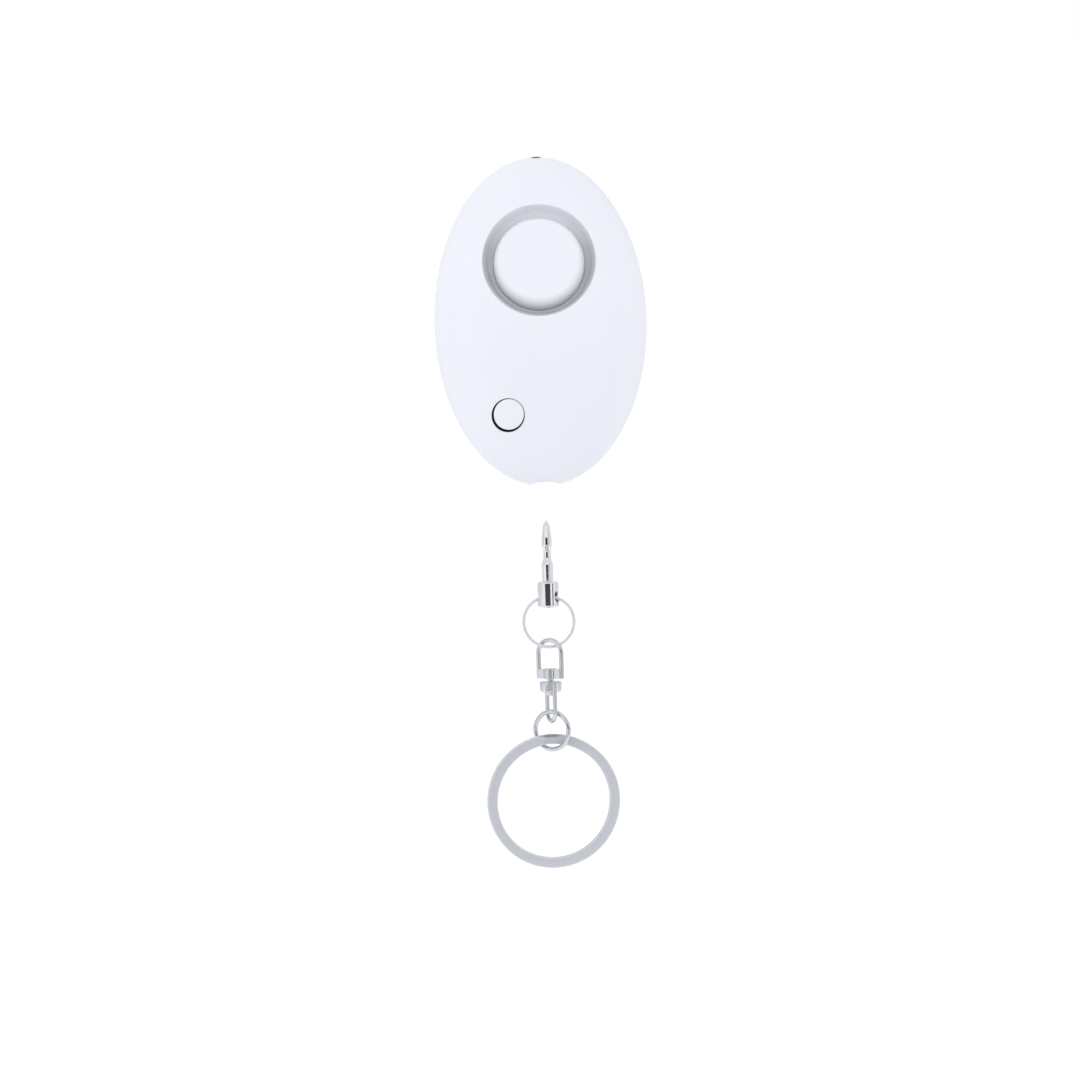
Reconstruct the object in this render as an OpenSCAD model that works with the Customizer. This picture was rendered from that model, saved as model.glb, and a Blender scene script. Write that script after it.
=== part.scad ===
// Personal safety alarm: an oval two-shell case with a siren, a torch lamp and a light button,
// and a pull pin on a swivel chain with a split key ring, drawn with the pin pulled out.
// X is right, Y goes from front to back, Z is up. The origin is the middle of the flat back.

/* [Body] */
// Width of the case across its middle
body_w = 40; // [40:0.5:46]
// Height of the case from end to end
body_h = 62; // [62:0.5:70]
// Depth of the front half, from the parting line to the crown
front_d = 9; // [9:0.1:10.5]
// Depth of the rear half, from the parting line to the flat back
rear_d = 9; // [9:0.1:10.5]
// Wall thickness of both shells
wall = 1.6; // [1.3:0.05:1.7]

/* [Siren] */
// Height of the siren above the middle of the case
siren_z = 10.4; // [10.4:0.1:11]
// Radius of the siren cap
cap_r = 8.45; // [8:0.05:8.5]
// Sound slit round the foot of the cap
slit = 0.2; // [0.15:0.05:0.4]
// Width of the groove at the outer surface
groove_w = 2.1; // [1.8:0.05:2.2]

/* [Light] */
// Light button, distance to the side of the middle
button_x = -6.5; // [-6.8:0.1:-6.4]
// Light button, distance below the middle as a share of the case height
button_low = 0.29; // [0.286:0.001:0.296]
// Radius of the light button
button_r = 2.85; // [2.6:0.05:3]
// Gap round the light button
button_gap = 0.2; // [0.15:0.01:0.25]
// How far the light button sits off the middle of its hole, to the right and up
button_play = 0.08; // [0:0.01:0.09]
// Radius of the torch lamp
lamp_r = 1.5; // [1.3:0.05:1.6]
// How far the lamp stands out of the case
lamp_out = 0.2; // [0.1:0.05:1]

/* [Pull pin] */
// How far the pin is drawn out of its socket
pull = 18.5; // [14:0.5:30]
// Radius of the pin's thick band
pin_r = 1.08; // [1:0.01:1.1]
// Radius of the pin's grip collar
collar_r = 2; // [1.9:0.05:2.2]
// Length of the grip collar
collar_len = 4.9; // [4.7:0.1:5.5]
// Mean radius of the thin ring on the collar
pin_ring_r = 4.75; // [4.6:0.05:5.5]
// Wire radius of the thin ring
pin_ring_wire = 0.3; // [0.25:0.01:0.32]

/* [Key chain] */
// Half width of the swivel shackle, to the middle of its wire
shackle_half = 2.46; // [2.4:0.02:2.7]
// Wire radius of the swivel
swivel_wire = 0.44; // [0.38:0.01:0.45]
// Half width of the swivel loop, to the middle of its wire
loop_half = 1.9; // [1.85:0.05:2.1]
// Mean radius of the jump ring
jump_r = 3.55; // [3.5:0.05:4]
// Wire radius of the jump ring
jump_wire = 0.45; // [0.38:0.01:0.46]
// Outside radius of the split ring
split_r = 12.6; // [11:0.1:16]
// Width of the split ring's strip
split_w = 1.9; // [1.6:0.1:2]
// Thickness of the split ring's strip
split_t = 0.5; // [0.4:0.02:0.52]

/* [Hidden] */
$fn = 64;
half_w = body_w / 2;
half_h = body_h / 2;
stretch = body_h / body_w;
part_y = -rear_d;
inner_w = half_w - wall;
// Depths that the two oval curves would reach before the crown and the back flatten them
front_full = front_d + 0.7;
rear_full = rear_d + 1.4;
// Width and depth of the flatter oval that makes the crown
crown_wide = 1.6;
crown_deep = 15.4;

// Levels in front of the parting line for the siren stack
groove_floor = front_d - 3.4;
ledge_back = front_d - 4.6;
tab_back = ledge_back - 0.8;
disc_back = tab_back - 0.22;
sleeve_end = front_d - 7.6;
sleeve_r = cap_r + 1.55;
sleeve_out = sleeve_r + 1.2;

// Board, switch and button levels along Y
board_front = part_y + 2.5;
board_back = board_front + 1;
switch_front = board_front - 3.5;
plunger_tip = switch_front - 0.8;
guide_end = part_y - front_d + 5;
button_hole = button_r + button_gap;
button_z = -button_low * body_h;
switch_half = 2.25;

// Cells lie on one axis along X
cell_r = 5.8;
cell_len = 5.4;
cell_y = part_y + 0.1;
cell_z = -0.116 * body_h;
tray_open = part_y + 2.1;

// Places on the board, from its top edge and from the socket's side
board_r = half_w - 3.7;
board_top = cell_z - cell_r - 0.6;
solder_z = board_top - 1;
socket_half = 3;
// Room between neighbours on the board
board_room = 0.3;
coil_r = 1.3;
coil_x = socket_half + coil_r + board_room;
coil_z = -0.274 * body_h;

// Socket and pin levels along Z, and the notch that the collar nests in
notch_depth = 0.9;
notch_r = 6.2;
socket_bottom = -half_h + 4.7;
socket_len = 8.8;
pin_hole = pin_r + 0.27;
tip_z = -half_h + 12 - pull;
collar_top = tip_z - 11.6;
collar_bottom = collar_top - collar_len;
spigot = 1.8;
eye_z = collar_top - 2.75;
eye_r = pin_ring_wire + 0.3;

// Chain levels along Z and turns about Z
ring_z = eye_z - 0.1 - pin_ring_r;
shackle_turn = -30;
drum_r = 1.3;
shackle_crown = ring_z - pin_ring_r + 1.3;
shackle_bend = shackle_crown - shackle_half;
block_top = shackle_crown - 5.4;
block_bottom = block_top - 1.9;
neck = 0.5;
loop_top = block_bottom - neck;
loop_turn = -68;
loop_neck = loop_top - 2;
loop_low = loop_top - 7.55;
loop_bend = loop_low + loop_half;
loop_wire = swivel_wire - 0.02;
jump_turn = -29;
jump_z = loop_low + 1.8 - jump_r;
jump_low = jump_z - jump_r;
split_turn = 7;
split_z = jump_low + 2.9 - split_r;
split_y = part_y - 0.15;
turn_gap = 0.42;
turn_step = split_t + turn_gap;
crossover = 36;
// Angle of the strip's front end, and how far both cut ends slant
front_end = 94;
end_slant = 7;

// Case screws
boss_r = 2.3;
screw_high = 0.1935 * body_h;
screw_side = 0.35 * body_w;
screw_low = -0.3065 * body_h;
low_screw_x = coil_x + coil_r + boss_r + board_room;
screw_at = [[-screw_side, screw_high], [screw_side, screw_high], [low_screw_x, screw_low]];
screw_r = 1;
head_seat = part_y + 3.4;
screw_tip = part_y - front_d + 5.2;

// Stakes that carry the board
stake_at = [[-9.5, solder_z - 2.9], [socket_half + 0.5, -0.3677 * body_h]];

// Oval pebble about the parting line, with its wall set in
module pebble(depth, inset) {
    translate([0, part_y, 0]) scale([half_w - inset, depth - inset, half_h - inset * stretch])
        sphere(r = 1, $fn = 128);
}

module front_dome(inset = 0, low = 0) {
    intersection() {
        pebble(front_full, inset);
        box(-half_w, half_w, part_y - front_d + inset, part_y + low, -half_h, half_h);
    }
}

// Front half with its flatter crown
module front_skin() {
    intersection() {
        front_dome();
        translate([0, part_y - front_d + crown_deep, 0])
            scale([crown_wide * half_w, crown_deep, crown_wide * half_h]) sphere(r = 1, $fn = 128);
    }
}

module rear_dome(inset = 0, low = 0) {
    intersection() {
        pebble(rear_full, inset);
        box(-half_w, half_w, part_y - low, -inset, -half_h, half_h);
    }
}

// Round bar along Y between two levels
module bar_y(x, z, y0, y1, r0, r1 = -1) {
    translate([x, y0, z]) rotate([-90, 0, 0])
        cylinder(h = y1 - y0, r1 = r0, r2 = r1 < 0 ? r0 : r1);
}

// Round bar along Z between two levels, on the pin's axis
module bar_z(z0, z1, r0, r1 = -1) {
    translate([0, part_y, z0]) cylinder(h = z1 - z0, r1 = r0, r2 = r1 < 0 ? r0 : r1);
}

module box(x0, x1, y0, y1, z0, z1) {
    translate([x0, y0, z0]) cube([x1 - x0, y1 - y0, z1 - z0]);
}

// Bar along Y in front of the parting line, by heights above it
module stack(r, h0, h1, r1 = -1) {
    bar_y(0, siren_z, part_y - h1, part_y - h0, r1 < 0 ? r : r1, r);
}

// Closed solid through a list of rings of equal size
module skin(rings) {
    n = len(rings[0]);
    m = len(rings);
    sides = [for (i = [0 : m - 2]) for (j = [0 : n - 1]) let (k = (j + 1) % n)
        each [[i * n + j, i * n + k, i * n + n + k], [i * n + j, i * n + n + k, i * n + n + j]]];
    first = [for (j = [1 : n - 2]) [0, j + 1, j]];
    last = [for (j = [1 : n - 2]) [(m - 1) * n, (m - 1) * n + j, (m - 1) * n + j + 1]];
    polyhedron(points = [for (ring = rings) each ring], faces = concat(sides, first, last), convexity = 8);
}

function unit(v) = v / norm(v);

// Points on a smooth curve through a route
function smooth(p, n) = let (m = len(p))
    concat([for (i = [0 : m - 2]) for (s = [0 : n - 1]) let (
        t = s / n, a = p[max(0, i - 1)], b = p[i], c = p[i + 1], d = p[min(m - 1, i + 2)])
        0.5 * (2 * b + (c - a) * t + (2 * a - 5 * b + 4 * c - d) * t * t
            + (3 * b - a - 3 * c + d) * t * t * t)], [p[m - 1]]);

// Wire of round section along a route, with its ends square to Y
module wire(route, r) {
    p = smooth(route, 4);
    m = len(p);
    skin([for (i = [0 : m - 1]) let (
        flow = i == 0 ? [0, 1, 0] : i == m - 1 ? [0, -1, 0] : unit(p[i + 1] - p[i - 1]),
        side = unit(cross(flow, [0.9, 0.1, -0.4])), up = cross(side, flow))
        [for (k = [0 : 5]) p[i] + r * (cos(-60 * k) * side + sin(-60 * k) * up)]]);
}

module screw_posts(y0, y1) {
    for (p = screw_at) bar_y(p[0], p[1], y0, y1, boss_r);
}

// Openings that lie half in each shell
module end_openings() {
    bar_z(-half_h - 2, -half_h + 5, pin_hole);
    bar_y(0, -half_h + notch_depth - notch_r, part_y - front_d, 0, notch_r);
    bar_z(half_h - 5, half_h + 2, lamp_r + 0.05);
}

module front_shell() {
    color("whitesmoke") difference() {
        front_skin();
        difference() {
            front_dome(wall, 1);
            stack(sleeve_out, sleeve_end, front_d + 3);
            bar_y(button_x, button_z, part_y - front_d - 3, guide_end, button_hole + 1.15);
            screw_posts(part_y - front_d - 3, part_y - 0.1);
        }
        stack(sleeve_r, sleeve_end - 1, ledge_back);
        stack(cap_r + slit, ledge_back - 1, groove_floor + 1);
        stack(cap_r + 1.05, groove_floor, front_d + 2, cap_r + groove_w + 1.2);
        bar_y(button_x, button_z, part_y - front_d - 3, guide_end + 1, button_hole);
        for (p = screw_at) bar_y(p[0], p[1], screw_tip - 0.2, part_y + 1, screw_r + 0.02);
        end_openings();
    }
}

// Oval ring of the parting tongue between two levels
module oval(r, y0, y1) {
    scale([1, 1, stretch]) bar_y(0, 0, y0, y1, r);
}

module tongue() {
    difference() {
        union() {
            oval(inner_w - 0.3, part_y - 1.2, part_y + 1.2);
            oval(inner_w + 0.5, part_y + 0.02, part_y + 1.2);
        }
        oval(inner_w - 1.1, part_y - 2, part_y + 2);
        box(-4, 4, part_y - 2, part_y + 2, -half_h, 0);
        box(-2.6, 2.6, part_y - 2, part_y + 2, 0, half_h);
        for (p = screw_at) bar_y(p[0], p[1], part_y - 2, part_y + 0.02, boss_r + 0.4);
    }
}

module rear_shell() {
    color("whitesmoke") difference() {
        union() {
            difference() {
                rear_dome();
                difference() {
                    rear_dome(wall, 1);
                    screw_posts(part_y + 0.05, 2);
                    for (p = stake_at) bar_y(p[0], p[1], board_back + 0.02, 2, 1.6);
                    for (p = stake_at) bar_y(p[0], p[1], board_front + 0.1, 2, 0.6);
                }
            }
            tongue();
        }
        for (p = screw_at) {
            bar_y(p[0], p[1], part_y - 1, 2, screw_r + 0.1);
            bar_y(p[0], p[1], head_seat, 2, 2.1);
        }
        end_openings();
    }
}

module case_screws() {
    color("dimgray") for (p = screw_at) difference() {
        union() {
            bar_y(p[0], p[1], screw_tip, head_seat + 0.3, screw_r);
            bar_y(p[0], p[1], head_seat + 0.02, head_seat + 1.3, 1.85, 1.5);
        }
        for (a = [0, 90]) translate([p[0], head_seat + 1.3, p[1]]) rotate([0, a, 0])
            cube([2, 1.4, 0.4], true);
    }
}

module siren_cap() {
    color("whitesmoke") difference() {
        union() {
            intersection() {
                stack(cap_r, tab_back, front_d + 2);
                front_skin();
            }
            stack(sleeve_r - 0.2, tab_back, ledge_back - 0.02);
        }
        stack(cap_r - 1.4, tab_back - 1, front_d - 2.9);
        for (a = [30, 90, 150]) translate([0, part_y - tab_back - 0.8, siren_z]) rotate([0, a, 0])
            cube([24, 1.9, 3.4], true);
    }
}

module piezo_disc() {
    color("goldenrod") stack(sleeve_r - 0.5, disc_back, tab_back - 0.02);
}

module piezo_ceramic() {
    color("lightgray") stack(cap_r - 1.3, disc_back - 0.22, disc_back - 0.02);
}

module piezo_clamp_ring() {
    color("dimgray") difference() {
        stack(sleeve_r - 0.05, sleeve_end + 0.1, disc_back - 0.02);
        stack(sleeve_r - 1.4, sleeve_end - 1, disc_back + 1);
    }
}

module light_button() {
    x = button_x + button_play;
    z = button_z + button_play;
    color("white") {
        intersection() {
            bar_y(x, z, part_y - front_d - 3, guide_end + 0.3, button_r);
            translate([0, -0.2, 0]) front_skin();
        }
        bar_y(x, z, guide_end + 0.05, guide_end + 0.65, button_hole + 0.65);
        bar_y(x, z, guide_end + 0.4, plunger_tip - 0.05, 1.2);
    }
}

module switch_plunger() {
    color("black") bar_y(button_x, button_z, plunger_tip, switch_front + 0.6, 1.7);
}

module light_switch() {
    color("silver") difference() {
        box(button_x - switch_half, button_x + switch_half, switch_front, board_front - 0.02,
            button_z - switch_half, button_z + switch_half);
        bar_y(button_x, button_z, switch_front - 1, switch_front + 1, 1.8);
    }
}

module circuit_board() {
    color("darkgreen") difference() {
        intersection() {
            oval(board_r, board_front, board_back);
            box(-half_w, half_w, board_front - 1, board_back + 1, -half_h, board_top);
        }
        bar_y(screw_at[2][0], screw_at[2][1], board_front - 1, board_back + 1, boss_r + 0.2);
        for (p = stake_at) bar_y(p[0], p[1], board_front - 1, board_back + 1, 0.65);
    }
}

module controller_chip() {
    color("black") box(-5.45, -0.55, board_back + 0.02, board_back + 1.52, -19.95, -16.05);
}

module boost_coil_core() {
    color("dimgray") translate([coil_x, board_front - coil_r - 0.05, coil_z]) {
        cylinder(h = 5.4, r = 0.8, center = true);
        for (s = [-1, 1]) translate([0, 0, s * 2.45]) cylinder(h = 0.5, r = coil_r, center = true);
    }
}

module boost_coil_winding() {
    color("peru") translate([coil_x, board_front - coil_r - 0.05, coil_z]) difference() {
        cylinder(h = 4.3, r = coil_r - 0.1, center = true);
        cylinder(h = 5, r = 0.82, center = true);
    }
}

module drive_transistor() {
    side = button_x - switch_half - board_room;
    color("black") box(side - 2.6, side, board_front - 1.1, board_front - 0.02,
        board_top - 1.9, board_top - 0.7);
}

module resistors() {
    color("black") for (z = [-0.35, -0.3694] * body_h)
        box(3.6, 5.4, board_front - 0.5, board_front - 0.02, z - 0.5, z + 0.5);
}

module torch_lamp() {
    lens = half_h + lamp_out - lamp_r;
    color("lightcyan") {
        bar_z(half_h - 3.8, lens, lamp_r);
        translate([0, part_y, lens]) intersection() {
            sphere(r = lamp_r);
            translate([0, 0, lamp_r]) cube(2 * lamp_r + 1, true);
        }
        bar_z(half_h - 4.6, half_h - 3.6, lamp_r + 0.4);
    }
}

module lamp_leads() {
    color("silver") for (s = [-1, 1]) translate([s * 1.1, part_y, half_h - 8]) cylinder(h = 3.38, r = 0.25);
}

module lamp_wires() {
    top = half_h - 8;
    end = board_back + 0.02;
    color("red") wire([[1.1, part_y + 0.27, top + 1], [1.8, part_y + 1.4, top], [4, part_y + 3, top - 3],
        [11.4, part_y + 3.6, 7], [12.4, part_y + 4, -6], [10.5, end + 0.9, solder_z + 0.4],
        [10.5, end, solder_z]], 0.35);
    color("black") wire([[-1.1, part_y + 0.27, top + 1], [-0.4, part_y + 1.5, top - 1],
        [2, part_y + 3.2, top - 4.5], [10.2, part_y + 3.8, 6], [11.3, part_y + 4.2, -6],
        [9.2, end + 0.9, solder_z + 0.4], [9.2, end, solder_z]], 0.35);
}

module piezo_wires() {
    end = board_back + 0.02;
    back = part_y - disc_back;
    color("red") wire([[-4, back + 0.24, 8], [-4, back + 2.6, 7.4], [-7, part_y + 2, 5],
        [-11.2, part_y + 3.6, -1], [-11.4, part_y + 4, -8], [-9.2, end + 0.9, solder_z + 0.4],
        [-9.2, end, solder_z]], 0.3);
    color("black") wire([[-7.4, back + 0.02, 8.4], [-7.4, back + 2.8, 8], [-9, part_y + 2.4, 6],
        [-12.3, part_y + 3.6, 0], [-12.5, part_y + 4, -8], [-10.6, end + 0.9, solder_z + 0.4],
        [-10.6, end, solder_z]], 0.3);
}

// Slots on one side of the socket for a leaf and its solder leg
module leaf_slot() {
    z = socket_bottom;
    box(0.5, 4, part_y - 0.75, part_y + 0.75, z + 1.2, z + 7.6);
    box(2.4, 4, part_y, board_front + 1, z + 1.2, z + 2.8);
}

module pin_socket() {
    z = socket_bottom;
    color("black") difference() {
        box(-socket_half, socket_half, part_y - 2.2, board_front - 0.02, z, z + socket_len);
        bar_z(z - 1, z + socket_len - 1.1, 1.2);
        leaf_slot();
        mirror([1, 0, 0]) leaf_slot();
    }
}

// Bent leaf that reaches in to a distance from the pin's axis
module leaf(reach) {
    z = socket_bottom;
    bend = [[2.7, z + 1.4], [2.7, z + 2.6], [reach, z + 4.9], [reach, z + 5.6], [reach + 0.7, z + 6.6]];
    translate([0, part_y, 0]) rotate([90, 0, 0]) linear_extrude(height = 1.2, center = true)
        polygon(concat([for (p = bend) p - [0.1, 0]], [for (i = [4 : -1 : 0]) bend[i] + [0.1, 0]]));
    box(2.6, 2.8, part_y - 0.6, board_front - 0.02, z + 1.4, z + 2.6);
}

module socket_contact() {
    color("gold") mirror([1, 0, 0]) leaf(1.3);
}

module switch_leaf() {
    color("gold") leaf(0.85);
}

module battery_tray() {
    ends = 1.5 * cell_len;
    color("black") difference() {
        intersection() {
            union() {
                box(-ends - 1.5, ends + 1.5, tray_open, -2.6, cell_z - 6, cell_z + 6);
                for (s = [-1, 1]) translate([s * (ends + 0.95), part_y, cell_z]) cube([1.1, 6, 8.6], true);
            }
            oval(half_w - 7.8, part_y - 8, 0);
        }
        translate([0, cell_y, cell_z]) rotate([0, 90, 0])
            cylinder(h = 2 * ends + 0.8, r = cell_r + 0.05, center = true);
        box(-ends - 0.4, ends + 0.4, cell_y - 8, tray_open + 1.2, cell_z - 3.1, cell_z + 3.1);
    }
}

// One button cell, counted from the left
module cell(i) {
    translate([(i - 1) * cell_len, cell_y, cell_z]) rotate([0, 90, 0]) {
        cylinder(h = cell_len - 0.04, r = cell_r - 0.6, center = true);
        translate([0, 0, 0.35]) cylinder(h = cell_len - 0.74, r = cell_r, center = true);
    }
}

module cell_a() {
    color("silver") cell(0);
}

module cell_b() {
    color("silver") cell(1);
}

module cell_c() {
    color("silver") cell(2);
}

// Contact plate at one end of the cells with a leg down to the board
module contact_plate() {
    x = 1.5 * cell_len + 0.04;
    box(x, x + 0.3, cell_y - 3, cell_y + 2, cell_z - 3, cell_z + 3);
    box(x, x + 0.3, tray_open - 0.5, tray_open - 0.05, cell_z - cell_r - 1.6, cell_z - 2);
    box(x, x + 0.3, tray_open - 0.5, board_front - 0.02, cell_z - cell_r - 1.6, cell_z - cell_r - 0.8);
}

module plus_contact() {
    color("silver") contact_plate();
}

module minus_contact() {
    color("silver") mirror([1, 0, 0]) contact_plate();
}

module pull_pin() {
    r = pin_r;
    steps = [[0, 0], [0.35, 0.3], [0.7, 0.42], [0.9, r - 0.46], [2.9, r - 0.25], [3.2, r - 0.15],
        [4.8, r - 0.15], [5.8, r - 0.38], [7.2, r - 0.4], [8.3, r], [10, r], [10.4, r - 0.08],
        [11.6, r - 0.08], [11.6, r - 0.1], [11.6 + spigot, r - 0.1], [11.6 + spigot, 0]];
    color("gainsboro") translate([0, part_y, tip_z]) rotate_extrude()
        polygon([for (s = steps) [s[1], -s[0]]]);
}

module pin_collar() {
    c = 0.3;
    color("gainsboro") difference() {
        union() {
            bar_z(collar_top - c, collar_top, collar_r, collar_r - c);
            bar_z(collar_bottom + c, collar_top - c, collar_r);
            bar_z(collar_bottom, collar_bottom + c, collar_r - c, collar_r);
        }
        bar_z(collar_top - spigot - 0.05, collar_top + 1, pin_r - 0.08);
        translate([0, part_y, eye_z]) rotate([0, 90, 0]) {
            cylinder(h = 6, r = eye_r, center = true);
            for (s = [0, 180]) rotate([s, 0, 0]) translate([0, 0, collar_r - 0.85])
                cylinder(h = 1.7, r1 = eye_r, r2 = eye_r + 1.4);
        }
    }
}

// Round wire ring that stands in the XZ plane
module hoop(r, w, angle = 360) {
    rotate([90, 0, 0]) rotate_extrude(angle = angle, $fn = 96) translate([r, 0]) circle(r = w, $fn = 24);
}

module pin_ring() {
    color("gainsboro") translate([0, part_y, ring_z]) hoop(pin_ring_r, pin_ring_wire);
}

module swivel_shackle() {
    w = shackle_half;
    color("gainsboro") translate([0, part_y, 0]) rotate([0, 0, shackle_turn]) difference() {
        union() {
            translate([0, 0, shackle_bend]) hoop(w, swivel_wire, 180);
            for (s = [-1, 1]) translate([s * w, 0, block_bottom + 0.05])
                cylinder(h = shackle_bend - block_bottom - 0.05, r = swivel_wire);
            translate([0, 0, (block_bottom + block_top) / 2]) {
                cylinder(h = block_top - block_bottom, r = drum_r, center = true);
                cube([2 * w - 0.3 * swivel_wire, 1.2, block_top - block_bottom - 0.15], true);
            }
        }
        translate([0, 0, block_bottom - 1]) cylinder(h = 4, r = 0.62);
        translate([0, 0, block_top - 0.45]) cylinder(h = 1, r = 1.05);
    }
}

module swivel_rivet() {
    color("silver") {
        bar_z(loop_neck - 0.3, block_top - 0.2, 0.55);
        bar_z(block_top - 0.42, block_top - 0.02, 0.95);
        bar_z(loop_neck - 0.65, loop_neck - 0.05, 0.7, 1.05);
    }
}

module swivel_loop() {
    w = loop_half;
    color("gainsboro") translate([0, part_y, 0]) rotate([0, 0, loop_turn]) difference() {
        union() {
            translate([0, 0, loop_neck]) cylinder(h = loop_top - loop_neck, r1 = w + 0.05, r2 = w + 0.2);
            for (s = [-1, 1]) translate([s * w, 0, loop_bend])
                cylinder(h = loop_top - loop_bend - 0.15, r = loop_wire);
            translate([0, 0, loop_bend]) mirror([0, 0, 1]) hoop(w, loop_wire, 180);
        }
        translate([0, 0, loop_neck - 1]) cylinder(h = 4, r = 0.62);
    }
}

module jump_ring() {
    color("gainsboro") translate([0, part_y, jump_z]) rotate([0, 0, jump_turn]) hoop(jump_r, jump_wire);
}

// Shift of the split ring's strip from front to back along its two turns
split_span = 720 - crossover - 8;
cross_from = 360 - crossover - 4;
function eased(t) = t * t * (3 - 2 * t);
function split_shift(t) = turn_step * (eased(min(1, max(0, (t - cross_from) / crossover))) - 0.5);
turn_gaps = [for (t = [0 : 5 : split_span - 360]) split_shift(t + 360) - split_shift(t) - split_t];
echo(split_ring_least_gap = min(turn_gaps));
// Lead of the strip's inner edge over its outer one, which slants the two cut ends
function end_share(t) = max(0, 1 - t / (3 * end_slant));
function end_lean(t) = end_slant * (end_share(t) - end_share(split_span - t));

module split_ring() {
    steps = 136;
    h = split_t / 2;
    color("lightsteelblue") translate([0, split_y, split_z]) rotate([0, 0, split_turn])
        skin([for (i = [0 : steps]) let (t = split_span * i / steps, a = front_end + t,
            b = a + end_lean(t), y = split_shift(t), o = split_r, n = split_r - split_w)
            [[o * cos(a), y - h, o * sin(a)], [o * cos(a), y + h, o * sin(a)],
             [n * cos(b), y + h, n * sin(b)], [n * cos(b), y - h, n * sin(b)]]]);
}

front_shell();
rear_shell();
case_screws();
siren_cap();
piezo_disc();
piezo_ceramic();
piezo_clamp_ring();
light_button();
switch_plunger();
light_switch();
circuit_board();
controller_chip();
boost_coil_core();
boost_coil_winding();
drive_transistor();
resistors();
torch_lamp();
lamp_leads();
lamp_wires();
piezo_wires();
pin_socket();
socket_contact();
switch_leaf();
battery_tray();
cell_a();
cell_b();
cell_c();
plus_contact();
minus_contact();
pull_pin();
pin_collar();
pin_ring();
swivel_shackle();
swivel_rivet();
swivel_loop();
jump_ring();
split_ring();
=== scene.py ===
"""Looks of an oval personal safety alarm with a pull pin on a key chain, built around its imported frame."""
import logging
import math
from collections.abc import Callable, Iterable, Sequence
from dataclasses import dataclass, field
from enum import Enum

import bmesh
import bpy
from mathutils import Matrix, Vector
from mathutils.geometry import delaunay_2d_cdt


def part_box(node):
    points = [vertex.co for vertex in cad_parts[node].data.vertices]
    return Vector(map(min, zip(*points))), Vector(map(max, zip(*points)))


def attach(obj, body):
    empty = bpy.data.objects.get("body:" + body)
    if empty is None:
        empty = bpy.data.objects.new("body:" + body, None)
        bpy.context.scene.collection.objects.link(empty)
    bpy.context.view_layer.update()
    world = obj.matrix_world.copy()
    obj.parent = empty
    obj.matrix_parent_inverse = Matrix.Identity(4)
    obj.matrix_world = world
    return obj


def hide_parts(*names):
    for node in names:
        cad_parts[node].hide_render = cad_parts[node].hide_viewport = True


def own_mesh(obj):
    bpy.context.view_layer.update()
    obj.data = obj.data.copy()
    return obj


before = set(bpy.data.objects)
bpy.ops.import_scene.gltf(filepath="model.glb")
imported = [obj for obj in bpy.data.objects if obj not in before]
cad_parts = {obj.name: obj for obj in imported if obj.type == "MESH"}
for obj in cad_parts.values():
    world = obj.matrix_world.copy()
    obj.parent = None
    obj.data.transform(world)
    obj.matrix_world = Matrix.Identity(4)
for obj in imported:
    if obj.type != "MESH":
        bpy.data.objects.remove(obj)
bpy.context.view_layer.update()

log = logging.getLogger("alarm")

MM = 0.001
TURN = 2 * math.pi
WELD = 1e-7
CREASE = 32.0
WIRE_CREASE = 50.0
WIRE_SIDES = 32
HOOP_STEPS = 144
TOOL_SIDES = 64
EXP_LIMIT = 60.0
BLACK_TO_WHITE = ((0.0,) * 3, (1.0,) * 3)

Plan = tuple[float, float]
Point = tuple[float, float, float]
Colour = tuple[float, float, float]
Placer = Callable[[float, float, float], Point]


class Axis(Enum):
    """Direction that a turned piece stands along."""

    Y = "y"
    Z = "z"


class Cut(Enum):
    """How one solid changes another."""

    JOIN = "UNION"
    TAKE = "DIFFERENCE"


def soft_min(first: float, second: float, blend: float) -> float:
    """Smaller of two heights, with the corner between them rounded."""
    return min(first, second) - blend * math.log1p(math.exp(-abs(first - second) / blend))


def circle(radius: float, count: int, start: float = 0.0) -> list[Plan]:
    """Points round a circle about the middle."""
    angles = [start + TURN * i / count for i in range(count)]
    return [(radius * math.cos(a), radius * math.sin(a)) for a in angles]


def rounded(corners: Sequence[Plan], radius: float, steps: int = 4, most: float = 0.45,
            beside: Plan = (1.8, 0.49)) -> list[Plan]:
    """Round the inner corners of an open outline.

    A further point beside each rounding keeps the straight runs straight in their shading too.

    Args:
        corners: The outline's corners, in order.
        radius: How far from a corner its rounding starts.
        steps: Parts that a rounding has.
        most: Largest share of a straight run that a rounding takes.
        beside: Place of the further point, in radii and as its largest share of the run.

    Returns:
        The outline's points, with the two ends as they were.
    """
    points = [corners[0]]
    for before, corner, after in zip(corners, corners[1:], corners[2:]):
        here = Vector(corner)
        arms = [Vector(before) - here, Vector(after) - here]
        ends = [here + arm.normalized() * min(radius, most * arm.length) for arm in arms]
        rests = [here + arm.normalized() * min(beside[0] * radius, beside[1] * arm.length) for arm in arms]
        bend = [ends[0] * (1 - t) ** 2 + here * (2 * t * (1 - t)) + ends[1] * t ** 2
                for t in (i / steps for i in range(steps + 1))]
        points += [(spot.x, spot.y) for spot in (rests[0], *bend, rests[1])]
    return points + [corners[-1]]


def rounded_bar(width: float, depth: float, radius: float, steps: int = 4) -> list[Plan]:
    """Outline of a bar with rounded corners about the middle.

    Args:
        width: First size of the bar.
        depth: Second size of the bar.
        radius: Radius of the corners.
        steps: Parts that a corner has.

    Returns:
        A closed loop of points.
    """
    points = []
    for quarter, (side, face) in enumerate(((1, 1), (-1, 1), (-1, -1), (1, -1))):
        centre = (side * (width / 2 - radius), face * (depth / 2 - radius))
        for i in range(steps + 1):
            a = (quarter + i / steps) * TURN / 4
            points.append((centre[0] + radius * math.cos(a), centre[1] + radius * math.sin(a)))
    return points


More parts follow.
